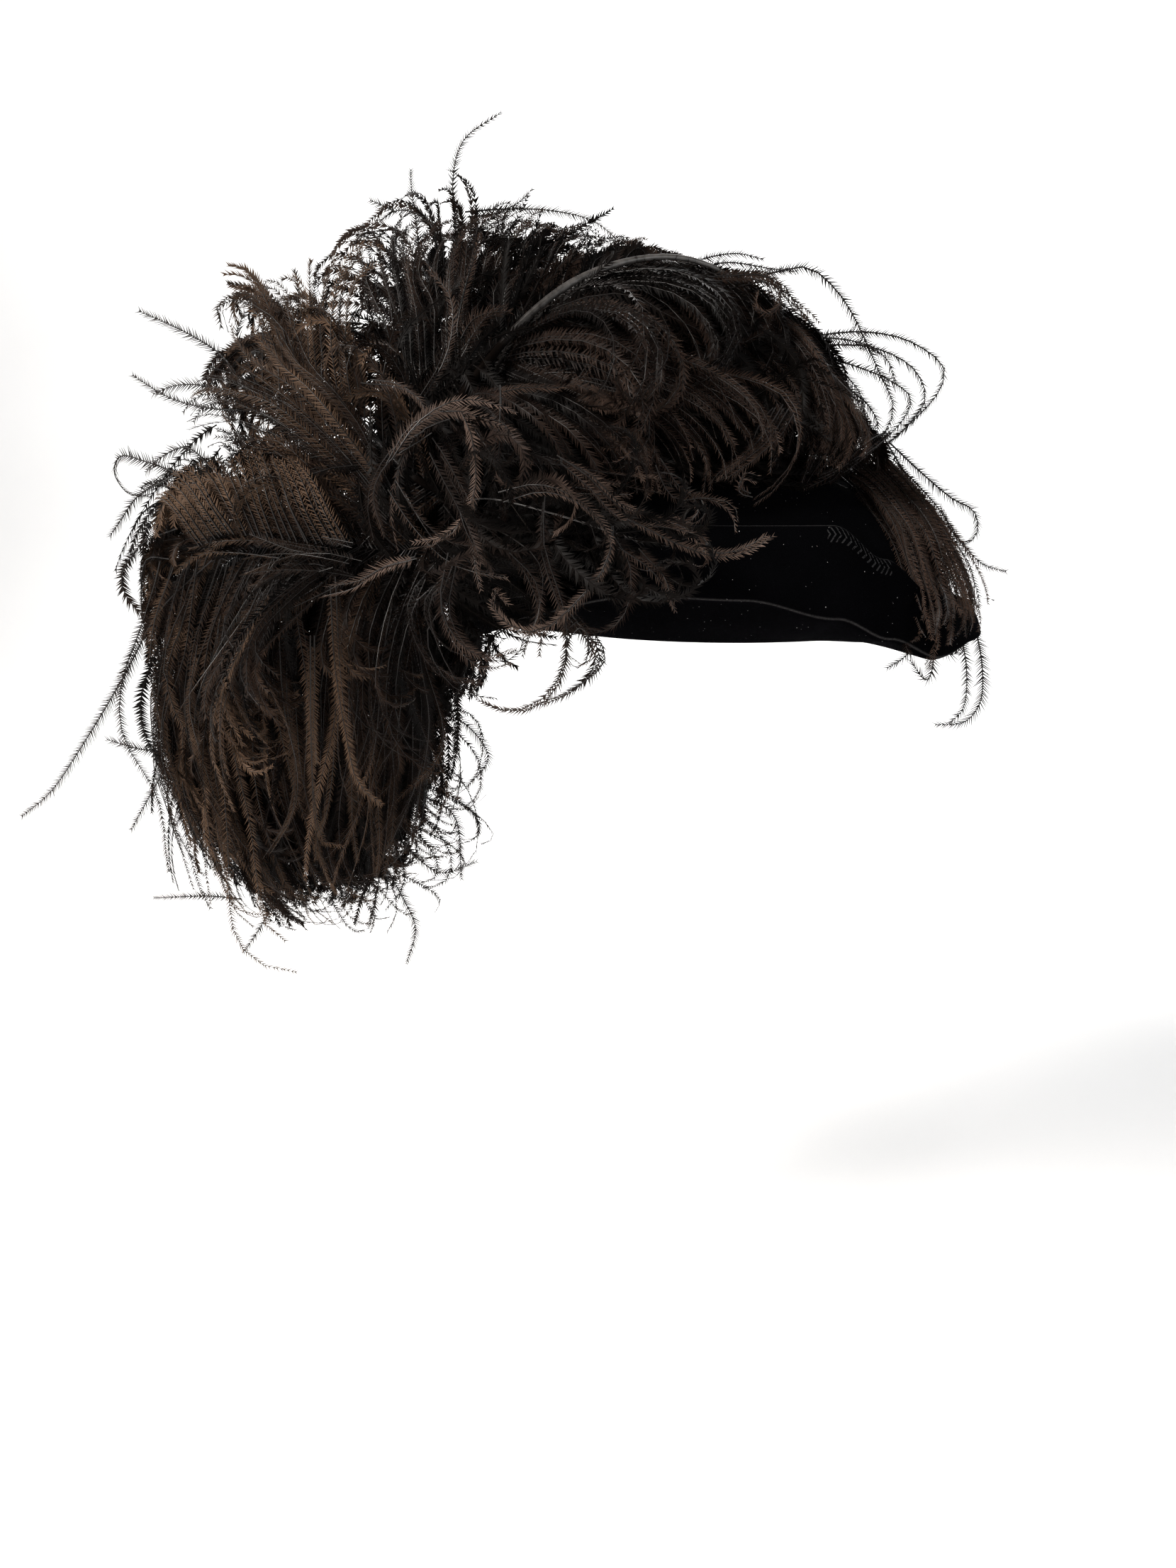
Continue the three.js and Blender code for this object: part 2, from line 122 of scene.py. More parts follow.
# Each plume's barbs, in the order in which they are laid
ARCH = [
    row(0.18, 0.52, 4, (64, 10), (72, 50), (-0.2, 0.6, 1), 0.2, 100, (1, 0.4, -0.5), mess=0.8, dense=0.55,
        pale=-0.1),
    row(0.3, 0.97, 6, (116, 26), (44, 26), (0.5, -0.5, -0.3), 0.5, 80, (-0.4, 0.1, -1), mess=0.6, dense=0.5,
        pale=-0.15, hook=110),
    row(0.16, 0.55, 4, (84, 92), (66, 54), (0.7, -0.5, -0.9), 0.6, 70, (0.7, 0.3, -0.6), dense=0.5,
        pale=-0.2),
    fan(46, 1.8, 0.4, 3, (-40, -36), (-104, 101, -94, 121, -90, 140, -81, 152, -69, 152),
        (-79, 117, -65, 136, -58, 147, -49, 149, -44, 144),
        (-51, 133, -41, 139, -33, 143, -26, 142, -22, 138), (-23, 135, -12, 136, -4, 134, 3, 131, 5, 127)),
    fan(80, 2.6, 0.42, 3.3, (-42, -78), (-91, 99, -67, 110, -36, 111, -8, 101, 8, 87, 16, 72, 13, 57),
        (-72, 112, -47, 116, -16, 112, 8, 102, 24, 88, 30, 71, 25, 56),
        (-45, 129, -20, 126, 9, 116, 28, 101, 39, 85, 42, 69, 36, 57),
        (-17, 135, 3, 127, 20, 114, 34, 99, 43, 83, 47, 70, 42, 60),
        (2, 129, 15, 120, 28, 108, 40, 93, 49, 79, 52, 69, 45, 61)),
    fan(50, 3, 0.44, 3.3, (-74, -108), (-95, 75, -78, 78, -59, 74, -42, 68, -31, 57, -28, 48),
        (-92, 83, -68, 85, -43, 79, -27, 69, -20, 57, -21, 48),
        (-88, 91, -61, 96, -32, 92, -10, 82, 3, 67, 5, 52),
        (-79, 98, -52, 104, -20, 99, 5, 87, 19, 71, 19, 55)),
    fan(60, 2.5, -0.25, 4.2, (-34, -46), (-95, 96, -68, 105, -39, 104, -16, 93, -5, 74, -10, 55),
        (-46, 130, -17, 125, 10, 111, 25, 93, 30, 74, 24, 57),
        (-18, 135, 5, 128, 24, 114, 38, 95, 45, 76, 40, 61),
        (2, 129, 13, 121, 25, 109, 38, 95, 48, 80, 51, 70, 46, 63)),
    fan(60, 3.5, -0.3, 4.3, (-54, -60), (-91, 91, -66, 95, -38, 93, -18, 78, -15, 62),
        (-92, 77, -66, 77, -40, 72, -24, 60), (-92, 60, -69, 59, -46, 53, -26, 49)),
    fan(30, 2, -0.2, 3.4, (-36, -28), (-105, 101, -98, 119, -92, 135, -82, 147, -70, 149),
        (-68, 121, -59, 133, -50, 140, -42, 140), (-26, 135, -15, 136, -5, 134, 2, 131)),
    fan(7, 2, 0.55, 2.6, (-90, -106), (29, 78, 23, 68, 12, 59, 0, 51), (18, 80, 11, 69, 4, 60, -4, 51)),
    lock(2, 1, 0.8, 0.78, 3, (-82, -108), -24, 93, -5, 93, 10, 90, 22, 84, 27, 73, 26, 63, 20, 53, 12, 47),
    lock(3, 1.5, 1.2, 0.8, 3, (-70, -66), -6, 128, 15, 127, 20, 120, 17, 114, 11, 115, 11, 121),
    lock(6, 3, 3, 0.78, 3.4, (-66, -62), -2, 127, 9, 128, 17, 126, 22, 118, 28, 110),
    lock(6, 2, 3, 0.4, 3.2, (-56, -80), 66, 75, 54, 65, 43, 57, 35, 53),
    lock(2, 1, 0.6, 0.84, 3.6, (-106, -102), -87, 83, -69, 86, -54, 86, -46, 94, -45, 100),
    lock(3, 2, 1.5, 0.74, 3.6, (-92, -90), -94, 101, -88, 109, -81, 114, -76, 115),
    lock(2, 1.5, 1, 0.74, 3.6, (-90, -80), -108, 85, -100, 97, -98, 110, -101, 123, -109, 132),
    lock(3, 2, 1.5, 0.66, 3, (-80, -66), -99, 108, -96, 125, -93, 140, -93, 146),
    lock(16, 5, 5, -0.3, 4.3, (-24, -24), -61, 101, -44, 100, -29, 98, -17, 92),
    lock(18, 5, 5, -0.3, 4.3, (-52, -48), -121, 86, -107, 92, -92, 96, -78, 96),
    lock(26, 7, 6, -0.3, 4.3, (-36, -44), -22, 74, 1, 70, 24, 66, 46, 63),
    lock(20, 9, 9, -0.3, 4.3, (-70, -90), -75, 86, -41, 82, -15, 72, 1, 61),
    lock(26, 9, 8, -0.3, 4.4, (-52, -58), -16, 80, 6, 73, 26, 66, 44, 65),
    lock(24, 8, 7, -0.3, 4.4, (-70, -74), -37, 65, -15, 61, 9, 58, 30, 58),
    lock(20, 9, 8, -0.3, 4.3, (-70, -90), -80, 78, -58, 72, -36, 64, -14, 56),
    lock(18, 9, 8, -0.25, 4.2, (-62, -84), -32, 96, 0, 85, 20, 72, 28, 62),
    lock(14, 8, 7, -0.25, 4.2, (-54, -66), -6, 110, 22, 94, 38, 78, 41, 67),
    lock(18, 6, 7, -0.25, 4.2, (-70, -62), -85, 96, -64, 109, -37, 116, -8, 116),
    lock(18, 7, 9, -0.2, 4, (-76, -56), -98, 85, -85, 101, -70, 120, -60, 138),
    stray(-17, -40, 134, 1, -30, 139, 20, -25, 137, 29, -20, 137),
    stray(5, -40, 129, 20, -25, 136, 33, -22, 138, 43, -22, 131, 51, -22, 121, 63, -24, 98, 69, -28, 84,
        64, -34, 72, 46, -44, 59),
    stray(28, -40, 107, 41, -28, 112, 59, -24, 113, 76, -22, 109, 89, -22, 99, 87, -24, 90, 73, -30, 75,
        57, -38, 62),
    stray(28, -40, 106, 45, -28, 108, 61, -24, 107, 77, -22, 99, 82, -24, 88, 75, -30, 77, 59, -38, 63),
    stray(28, -40, 106, 50, -34, 100, 66, -32, 94, 75, -32, 87, 71, -34, 77, 57, -38, 66),
    stray(33, -40, 98, 49, -36, 91, 59, -36, 83, 62, -38, 75, 54, -40, 66),
    stray(30, -44, 103, 44, -40, 98, 54, -38, 89, 57, -38, 79),
    stray(36, -44, 91, 48, -42, 83, 55, -42, 73, 58, -42, 65),
    stray(33, -38, 109, 43, -32, 110, 55, -30, 108, 65, -30, 102, 69, -30, 93),
    stray(-17, -38, 136, -7, -30, 141, 5, -26, 143, 15, -24, 141),
]

CREST = [
    row(0.25, 0.92, 5, (72, 44), (50, 40), (-1, 0.1, 0.3), 0.3, 90, (-0.8, -0.2, -1), dense=0.4, clumps=5,
        fluff=3.3),
    row(0.3, 1, 4, (58, 28), (56, 24), (1, 0.1, 0), 0.2, 80, (1, 0, -0.8), dense=0.6, fluff=3.3),
    row(0.4, 0.8, 2, (62, 50), (46, 36), (-0.4, -1, 0.2), 0.4, 80, (-0.4, -0.6, -1), dense=0.5, fluff=3.3),
    fan(30, 3, 0.36, 3.2, (-56, -30), (-128, 87, -134, 112, -143, 133, -148, 146, -144, 155),
        (-120, 89, -123, 117, -130, 141, -129, 155, -122, 159),
        (-111, 90, -115, 117, -118, 139, -113, 154, -104, 159),
        (-102, 98, -102, 122, -98, 143, -87, 154, -74, 154)),
    fan(34, 3, 0.5, 3.4, (-38, -28), (-109, 105, -110, 127, -109, 146, -103, 158, -93, 160),
        (-94, 113, -90, 132, -85, 147, -77, 155, -68, 154),
        (-77, 121, -70, 136, -63, 146, -55, 151, -49, 147)),
    lock(22, 10, 12, -0.1, 4, (-40, -20), -91, 121, -81, 138, -70, 151),
    lock(20, 8, 14, -0.1, 4, (-44, -24), -123, 83, -118, 105, -110, 128, -99, 145),
    lock(3, 2, 2, 0.45, 3.2, (-50, -36), -128, 92, -137, 110, -143, 126, -140, 141, -127, 138, -120, 139),
    stray(-112, -5, 157, -115, -5, 177, -110, -5, 193, -94, -5, 203),
    stray(-129, -10, 143, -130, -10, 162, -131, -12, 173, -131, -12, 181),
    stray(-111, 0, 167, -97, 10, 170, -76, 10, 169, -56, 5, 163, -45, 0, 154),
    stray(-121, -12, 156, -127, -12, 163, -138, -10, 166, -148, -10, 160, -155, -10, 151),
    stray(-137, -15, 164, -143, -15, 167, -148, -15, 169),
    stray(-110, 0, 165, -98, 0, 166, -88, 0, 170, -82, 0, 175),
]

FAN = [
    row(0.28, 0.97, 4, (72, 46), (62, 24), (0.5, 0.3, 1), 0.2, 90, (-0.6, 0, -1), dense=0.34, pale=0.12,
        clumps=5),
    row(0.25, 0.97, 5, (80, 46), (50, 30), (-0.6, -0.3, -0.7), 0.3, 80, (-0.4, 0, -1), dense=0.4, pale=0.12),
    fan(20, 2, 0.56, 3.7, (-76, -66), (-170, 70, -172, 92, -175, 109, -183, 120, -193, 120, -196, 114),
        (-157, 69, -161, 91, -163, 112, -167, 126, -176, 128, -180, 123),
        (-146, 65, -150, 91, -152, 114, -147, 130, -139, 141, -135, 140),
        (-135, 62, -140, 86, -142, 109, -139, 127, -131, 134, -124, 132)),
    fan(28, 2.2, 0.36, 3.9, (-92, -74), (-125, 37, -143, 51, -163, 64, -181, 72, -196, 75, -208, 75),
        (-124, 42, -145, 61, -165, 77, -182, 85, -200, 86, -210, 77),
        (-124, 48, -142, 69, -159, 85, -173, 93, -183, 101, -186, 110),
        (-122, 54, -133, 74, -145, 90, -154, 100, -160, 111, -166, 117)),
    lock(16, 8, 9, -0.15, 4, (-74, -66), -130, 38, -143, 49, -152, 60, -158, 65),
    lock(2, 2, 1, 0.62, 3.8, (-80, -70), -157, 71, -162, 96, -165, 109, -175, 118, -186, 121, -193, 118,
        -192, 111),
    lock(4, 3, 3, 0.48, 3.8, (-80, -74), -160, 75, -161, 91, -166, 104),
    stray(-185, -70, 91, -195, -70, 103, -208, -70, 111, -226, -70, 119),
    stray(-181, -78, 81, -196, -78, 82, -213, -76, 86, -229, -74, 95),
    stray(-179, -76, 81, -197, -74, 90, -211, -74, 91, -221, -74, 88),
    stray(-181, -70, 92, -184, -70, 102, -187, -70, 110, -183, -70, 118),
    stray(-178, -70, 92, -177, -70, 105, -176, -70, 114),
]

SIDE = [
    row(0.14, 0.6, 5, (84, 34), (58, 42), (-0.2, 0.1, 1), 0.15, 60, (-1, 0, -0.5), mess=0.5, dense=0.5,
        pale=0.05),
    row(0.14, 0.9, 6, (86, 50), (56, 40), (0.5, -0.5, -1), 0.8, 30, (0.7, 0, -0.4), dense=0.5, pale=-0.15),
    row(0.62, 0.97, 3, (20, 26), (34, 22), (-1, 0.1, 0.1), 0.5, 60, (0.2, 0, -1), dense=0.6, pale=-0.3),
    fan(25, 0.5, 0.84, 3.1, (-102, -98), (-134, 30, -140, 40, -147, 52, -154, 60),
        (-150, 32, -156, 44, -161, 57, -166, 66), (-167, 34, -171, 46, -175, 58, -178, 66),
        (-183, 35, -190, 45, -197, 54, -204, 59), (-195, 30, -203, 41, -211, 48, -216, 47), stem=0.5),
    fan(44, 2.4, 0.16, 3.8, (-90, -82), (-139, 29, -144, 41, -152, 54, -159, 65, -165, 67),
        (-169, 33, -174, 49, -179, 62, -185, 70, -193, 70),
        (-194, 30, -205, 43, -214, 52, -223, 52, -228, 46)),
    fan(84, 7.5, 0.44, 3.7, (-86, -60),
        (-210, 26, -219, 8, -226, -16, -229, -40, -230, -66, -227, -89, -223, -108),
        (-206, 23, -217, -1, -223, -25, -225, -49, -224, -75, -219, -100, -211, -120),
        (-194, 25, -207, -4, -214, -36, -215, -68, -210, -97, -201, -119, -191, -127),
        (-179, 26, -192, -6, -201, -39, -203, -70, -197, -98, -189, -121, -178, -127),
        (-162, 25, -172, -9, -180, -42, -183, -73, -178, -101, -171, -122, -161, -123),
        (-145, 22, -151, -11, -156, -44, -159, -72, -160, -97, -156, -116, -148, -114),
        (-128, 22, -130, -11, -132, -43, -136, -69, -142, -90, -152, -107, -162, -112),
        (-117, 20, -114, -11, -112, -37, -117, -59, -126, -77, -136, -93, -146, -98)),
    fan(110, 7, -0.15, 4.2, (-72, -48), (-214, 24, -222, -8, -225, -39, -223, -72, -215, -105, -203, -128),
        (-173, 24, -187, -14, -195, -51, -193, -87, -182, -119, -173, -129),
        (-127, 22, -126, -13, -128, -46, -135, -79, -150, -106, -162, -122)),
    # The palest of these locks, of tint 0.88 to 0.9, are painted highlights: barbs made pale where light
    # catches the side plume.
    lock(2, 1.2, 0.8, 0.88, 3.4, (-122, -113), -158, 19, -172, -2, -186, -28, -190, -47, -184, -70),
    lock(2, 2, 2, 0.62, 3.5, (-112, -98), -167, 16, -178, -4, -189, -32, -193, -51, -193, -64),
    lock(2, 1.2, 0.8, 0.88, 3.4, (-120, -114), -140, 19, -140, -9, -137, -36, -133, -57, -125, -65),
    lock(2, 2, 2, 0.6, 3.5, (-110, -96), -141, 11, -141, -19, -140, -47, -136, -62, -132, -66),
    lock(2, 1.2, 0.8, 0.9, 3.4, (-118, -110), -145, -1, -149, -39, -150, -64, -147, -82, -141, -83),
    lock(2, 1.5, 1, 0.64, 3.5, (-108, -100), -166, 10, -172, -11, -169, -27, -166, -40),
    lock(2, 1.5, 1.5, 0.58, 3.5, (-106, -98), -156, 8, -155, -14, -155, -34, -155, -54),
    lock(2, 1.5, 1, 0.56, 3.4, (-104, -96), -129, 3, -135, -14, -138, -34, -138, -48),
    lock(3, 3, 3, 0.5, 3.4, (-98, -90), -120, 7, -125, -15, -129, -34, -136, -55, -143, -67),
    lock(3, 2, 2, 0.56, 3.6, (-100, -84), -164, -4, -165, -32, -165, -56, -171, -78, -183, -95),
    lock(2, 2, 2, 0.56, 3.4, (-104, -92), -182, 7, -189, -15, -186, -35, -177, -50),
    lock(3, 3, 3, 0.54, 3.6, (-90, -70), -206, -5, -214, -35, -213, -63, -205, -89, -202, -109),
    lock(3, 3, 3, 0.54, 3.6, (-94, -78), -195, 1, -202, -22, -208, -46, -209, -71, -209, -82),
    lock(6, 3, 3, 0.6, 3.6, (-104, -96), -134, 26, -150, 30, -170, 35, -190, 35, -202, 31),
    lock(4, 4, 3, 0.6, 3.6, (-108, -102), -138, 24, -155, 16, -171, 5, -181, -6),
    lock(26, 16, 14, -0.2, 4.2, (-70, -54), -169, 13, -173, -23, -174, -57, -176, -104),
    lock(14, 6, 7, -0.1, 4.2, (-64, -56), -183, -2, -188, -33, -189, -64, -187, -87),
    lock(18, 5, 6, -0.15, 4.2, (-68, -54), -225, -14, -230, -48, -229, -76, -223, -102),
    lock(22, 10, 12, -0.2, 4.2, (-66, -48), -207, 9, -222, -27, -226, -69, -215, -110),
    lock(24, 12, 12, -0.3, 4.2, (-68, -48), -140, 13, -138, -23, -138, -57, -151, -95),
    lock(24, 8, 9, -0.2, 4, (-80, -74), -136, 28, -150, 33, -165, 38, -183, 44),
    lock(34, 7, 9, -0.25, 4.3, (-80, -72), -130, 25, -160, 26, -190, 26, -215, 23),
    lock(18, 5, 6, 0.3, 4, (-76, -68), -216, 30, -225, 21, -229, 4, -231, -17),
    lock(16, 5, 6, -0.05, 4, (-84, -80), -194, 62, -206, 52, -216, 38, -222, 22),
    lock(5, 3, 4, 0.55, 3.4, (-112, -108), -134, 25, -150, 26, -164, 24, -178, 20),
    # One pale barb: a painted highlight where light glints along a single barb.
    lock(1, 0.5, 0.5, 0.95, 3.2, (-116, -112), -158, 27, -175, 29, -189, 28, -199, 21),
    stray(-195, -90, 25, -221, -84, 5, -244, -78, -25, -270, -72, -57, -288, -68, -77, -305, -64, -89),
    stray(-205, -90, 57, -220, -88, 62, -231, -86, 64, -235, -84, 58, -230, -84, 50, -221, -84, 49),
    stray(-191, -92, 59, -202, -90, 67, -213, -90, 63, -220, -88, 58),
    stray(-209, -90, 56, -223, -90, 49, -231, -90, 40, -236, -90, 34),
    stray(-209, -88, 37, -225, -86, 31, -235, -86, 20),
    stray(-231, -60, -59, -248, -60, -58, -263, -60, -54),
    stray(-230, -55, -53, -247, -52, -76, -262, -50, -98),
    stray(-226, -52, -67, -235, -50, -84, -240, -50, -95),
    stray(-215, -85, 25, -224, -85, 25, -230, -82, 8, -229, -80, -16),
    stray(-223, -85, 24, -222, -85, 12, -225, -85, 8),
]

DROP = [
    row(0.2, 0.97, 5, (76, 46), (54, 44), (1, -0.3, -0.3), 0.7, 60, (1, 0, 0.2), dense=0.6, pale=-0.35),
    row(0.25, 1, 5, (66, 32), (48, 34), (-0.9, -0.6, -0.1), 0.8, 60, (0.6, 0, -0.5), dense=0.6, pale=-0.35),
    row(0.4, 1, 2, (56, 30), (44, 16), (-0.6, 0.9, 0.1), 0.8, 60, (0.6, 0, -0.5), dense=0.8, pale=-0.35),
    fan(84, 5.5, 0.36, 3.2, (-46, -26), (-122, 3, -116, -25, -117, -48, -126, -70, -137, -84),
        (-132, -4, -128, -41, -128, -68, -116, -78, -113, -70),
        (-142, -28, -139, -67, -132, -91, -118, -99, -113, -90),
        (-150, -53, -146, -83, -142, -105, -130, -115, -121, -109),
        (-167, -66, -163, -97, -160, -121, -150, -133, -140, -129),
        (-186, -67, -188, -101, -187, -126, -179, -139, -168, -137),
        (-205, -61, -209, -95, -208, -124, -200, -143, -188, -147),
        (-223, -58, -227, -92, -225, -123, -217, -145, -204, -150)),
    fan(80, 5, -0.2, 4.2, (-30, -16), (-135, -43, -130, -70, -136, -92, -148, -111),
        (-162, -57, -161, -91, -161, -113, -170, -130), (-192, -64, -195, -103, -193, -129, -199, -142),
        (-219, -58, -222, -93, -221, -126, -215, -146), (-238, -45, -241, -77, -237, -109, -231, -136)),
    fan(70, 5, -0.25, 4.2, (-66, -50), (-146, 21, -140, -8, -135, -33, -128, -46),
        (-125, 27, -120, -2, -120, -26, -123, -42), (-105, 24, -102, 4, -106, -17, -116, -38),
        (-91, 22, -88, 8, -91, -4, -101, -18)),
    lock(20, 9, 9, -0.15, 4, (-56, -36), -131, 15, -125, -9, -124, -35, -131, -57, -141, -71),
    lock(20, 9, 9, -0.15, 4, (-52, -32), -139, 15, -135, -28, -137, -67, -148, -96),
    lock(20, 10, 9, -0.05, 4, (-44, -28), -163, -41, -160, -74, -160, -106, -176, -131),
    lock(3, 4, 5, 0.25, 2.8, (-34, -27.9), -131, -49, -116, -53, -106, -62, -106, -74, -113, -80),
    lock(3, 4, 5, 0.25, 2.8, (-34, -28), -135, -72, -119, -79, -109, -91, -109, -103, -118, -108),
    lock(3, 4, 5, 0.25, 2.8, (-34, -28), -142, -92, -128, -101, -119, -114, -122, -125, -132, -128),
    lock(3, 4, 6, 0.25, 2.8, (-34, -28), -156, -104, -145, -117, -139, -131, -146, -142),
    lock(3, 4, 6, 0.25, 2.8, (-34, -28), -180, -116, -169, -128, -161, -139, -165, -148),
    lock(14, 6, 7, 0.05, 4, (-44, -34), -131, -10, -128, -41, -131, -71, -144, -95),
    lock(14, 7, 6, 0.05, 4, (-44, -36), -218, -78, -212, -104, -199, -123, -182, -131),
    lock(12, 7, 6, 0.05, 4, (-44, -36), -188, -77, -184, -103, -173, -119, -159, -121),
    stray(-221, -30, -137, -236, -30, -136, -265, -30, -138),
    stray(-156, -25, -112, -143, -25, -136, -138, -25, -150, -143, -25, -168),
    stray(-200, -30, -126, -211, -30, -148, -222, -30, -164),
    stray(-148, -15, -108, -128, -15, -125, -110, -15, -119),
    stray(-137, -15, -86, -121, -12, -97, -118, -12, -129),
    stray(-131, -20, -45, -113, -20, -51, -102, -20, -67, -112, -20, -81),
    stray(-159, -25, -119, -157, -25, -137, -161, -25, -151),
]

CURLS = [
    row(0.1, 0.97, 5, (84, 60), (66, 40), (-0.1, -0.4, -1), 0.5, 170, (1, -0.1, 0.6), dense=0.06, pale=-0.3,
        clumps=6, pull=0.1, hook=110),
    row(0.15, 0.9, 4, (76, 52), (60, 36), (0.1, 0.2, 1), 0.3, 130, (0.9, -0.2, -1), dense=0.06, pale=-0.3,
        clumps=6, pull=0.1, hook=110),
    row(0.8, 1, 2, (50, 44), (30, 10), (0, 0, 1), 0.2, 110, (0.2, -0.2, 1), dense=0.06, pale=-0.3, clumps=6,
        pull=0.1, hook=90),
    fan(90, 5, -0.3, 4.2, (-68, -72), (-132, 86, -130, 60, -128, 33, -126, 5),
        (-119, 92, -117, 60, -115, 27, -114, -1), (-105, 91, -103, 60, -101, 27, -98, 2),
        (-89, 91, -86, 65, -84, 33, -81, 8)),
    lock(2, 0.8, 0.4, 0.83, 2.9, (-148, -156), -34, 39, -35, 28, -45, 15, -56, 6, -64, 6, -71, 12, -74, 18,
        -70, 20, -67, 15),
    lock(2, 1, 0.8, 0.81, 2.9, (-146, -150), -70, 49, -58, 51, -47, 48, -37, 41, -33, 34),
    lock(2, 1.2, 1, 0.61, 3.4, (-146, -152), -56, 49, -57, 35, -54, 24, -50, 13, -49, -3, -55, -16,
        -67, -21, -77, -17),
    lock(3, 2.5, 1.6, 0.63, 3.2, (-138, -146), -53, 60, -42, 51, -33, 42, -18, 39, -6, 36, -1, 31),
    lock(3, 2.5, 1, 0.69, 3, (-142, -148), -31, 41, -15, 33, 0, 30, 11, 33, 16, 36),
    lock(2, 1.5, 1, 0.53, 3.4, (-144, -150), -35, 38, -28, 26, -29, 13, -36, 6, -42, 7),
    lock(3, 2.5, 1.6, 0.57, 3, (-144, -148), -30, 35, -19, 25, -14, 15),
    lock(2, 1.5, 0.8, 0.83, 3.6, (-136, -136), -105, 65, -95, 74, -85, 75, -81, 62, -81, 51, -85, 41,
        -95, 34, -103, 33),
    lock(2, 1.5, 1, 0.81, 3.6, (-136, -134), -110, 60, -100, 72, -88, 77, -76, 74, -69, 71),
    lock(2, 1.2, 1, 0.65, 3.2, (-130, -132), -74, 82, -74, 68, -76, 55),
    lock(2, 1.2, 1, 0.65, 3.2, (-130, -132), -74, 72, -67, 65, -63, 59),
    lock(2, 1.5, 1, 0.77, 3.6, (-114, -120), -124, 86, -112, 85, -104, 80, -101, 73),
    lock(3, 2.5, 2, 0.51, 3.4, (-132, -140), -95, 63, -86, 49, -80, 35, -76, 23),
    lock(2, 1.5, 1.5, 0.57, 3.4, (-136, -142), -85, 42, -81, 30, -77, 21),
    lock(3, 2.5, 2, 0.57, 3.4, (-128, -140), -111, 51, -102, 39, -90, 29, -71, 26),
    lock(3, 2, 1.5, 0.53, 3.4, (-140, -144), -88, 26, -91, 12, -86, 1, -76, -6, -66, -3),
    lock(3, 2, 1.5, 0.51, 3.4, (-146, -150), -49, 12, -38, -4, -47, -15, -57, -20),
    lock(3, 3, 2, 0.43, 3.2, (-140, -146), -76, 35, -65, 26, -60, 12, -62, -3),
    lock(2, 1.5, 1, 0.83, 3.6, (-130, -124), -103, 29, -116, 25, -127, 18, -139, 15),
    lock(3, 3, 3, 0.41, 3.4, (-128, -124), -97, 72, -110, 63, -116, 49, -113, 34),
    lock(6, 4, 5, 0.46, 3.2, (-122, -128), -76, 58, -56, 56, -39, 51, -26, 49),
    lock(8, 5, 7, -0.3, 3.2, (-112, -116), -94, 44, -73, 39, -53, 38, -33, 32),
    lock(2, 1, 0.8, 0.63, 2.4, (-148, -148), -49, 3, -45, 8, -40, 3, -42, -6, -49, -2),
    lock(2, 1.5, 1, 0.57, 2.8, (-124, -132), -20, 60, -12, 49, -3, 48, 4, 44, 5, 39),
    lock(2, 1, 0.8, 0.71, 2.4, (-128, -130), -7, 49, -6, 44, -10, 40, -15, 42),
    lock(2, 1, 0.8, 0.51, 2.4, (-116, -118), 11, 49, 7, 51, 8, 56, 13, 55),
    lock(5, 4, 4, 0.3, 3.4, (-124, -130), -92, 22, -102, 10, -92, -10, -76, -14),
    lock(12, 6, 8, -0.3, 4, (-112, -116), -99, 39, -78, 29, -58, 24, -40, 17),
    lock(12, 6, 8, -0.3, 4, (-112, -116), -105, 29, -89, 17, -68, 7, -53, 5),
    lock(30, 7, 8, -0.3, 4.2, (-78, -88), -111, 85, -100, 65, -97, 39, -100, 15),
    lock(30, 7, 8, -0.3, 4.2, (-76, -84), -123, 75, -121, 54, -118, 33, -113, 6),
    lock(28, 7, 8, -0.3, 4.2, (-84, -96), -94, 85, -77, 64, -72, 44, -77, 23),
    lock(24, 7, 8, -0.3, 4.2, (-94, -110), -76, 69, -55, 54, -41, 39, -33, 24),
]

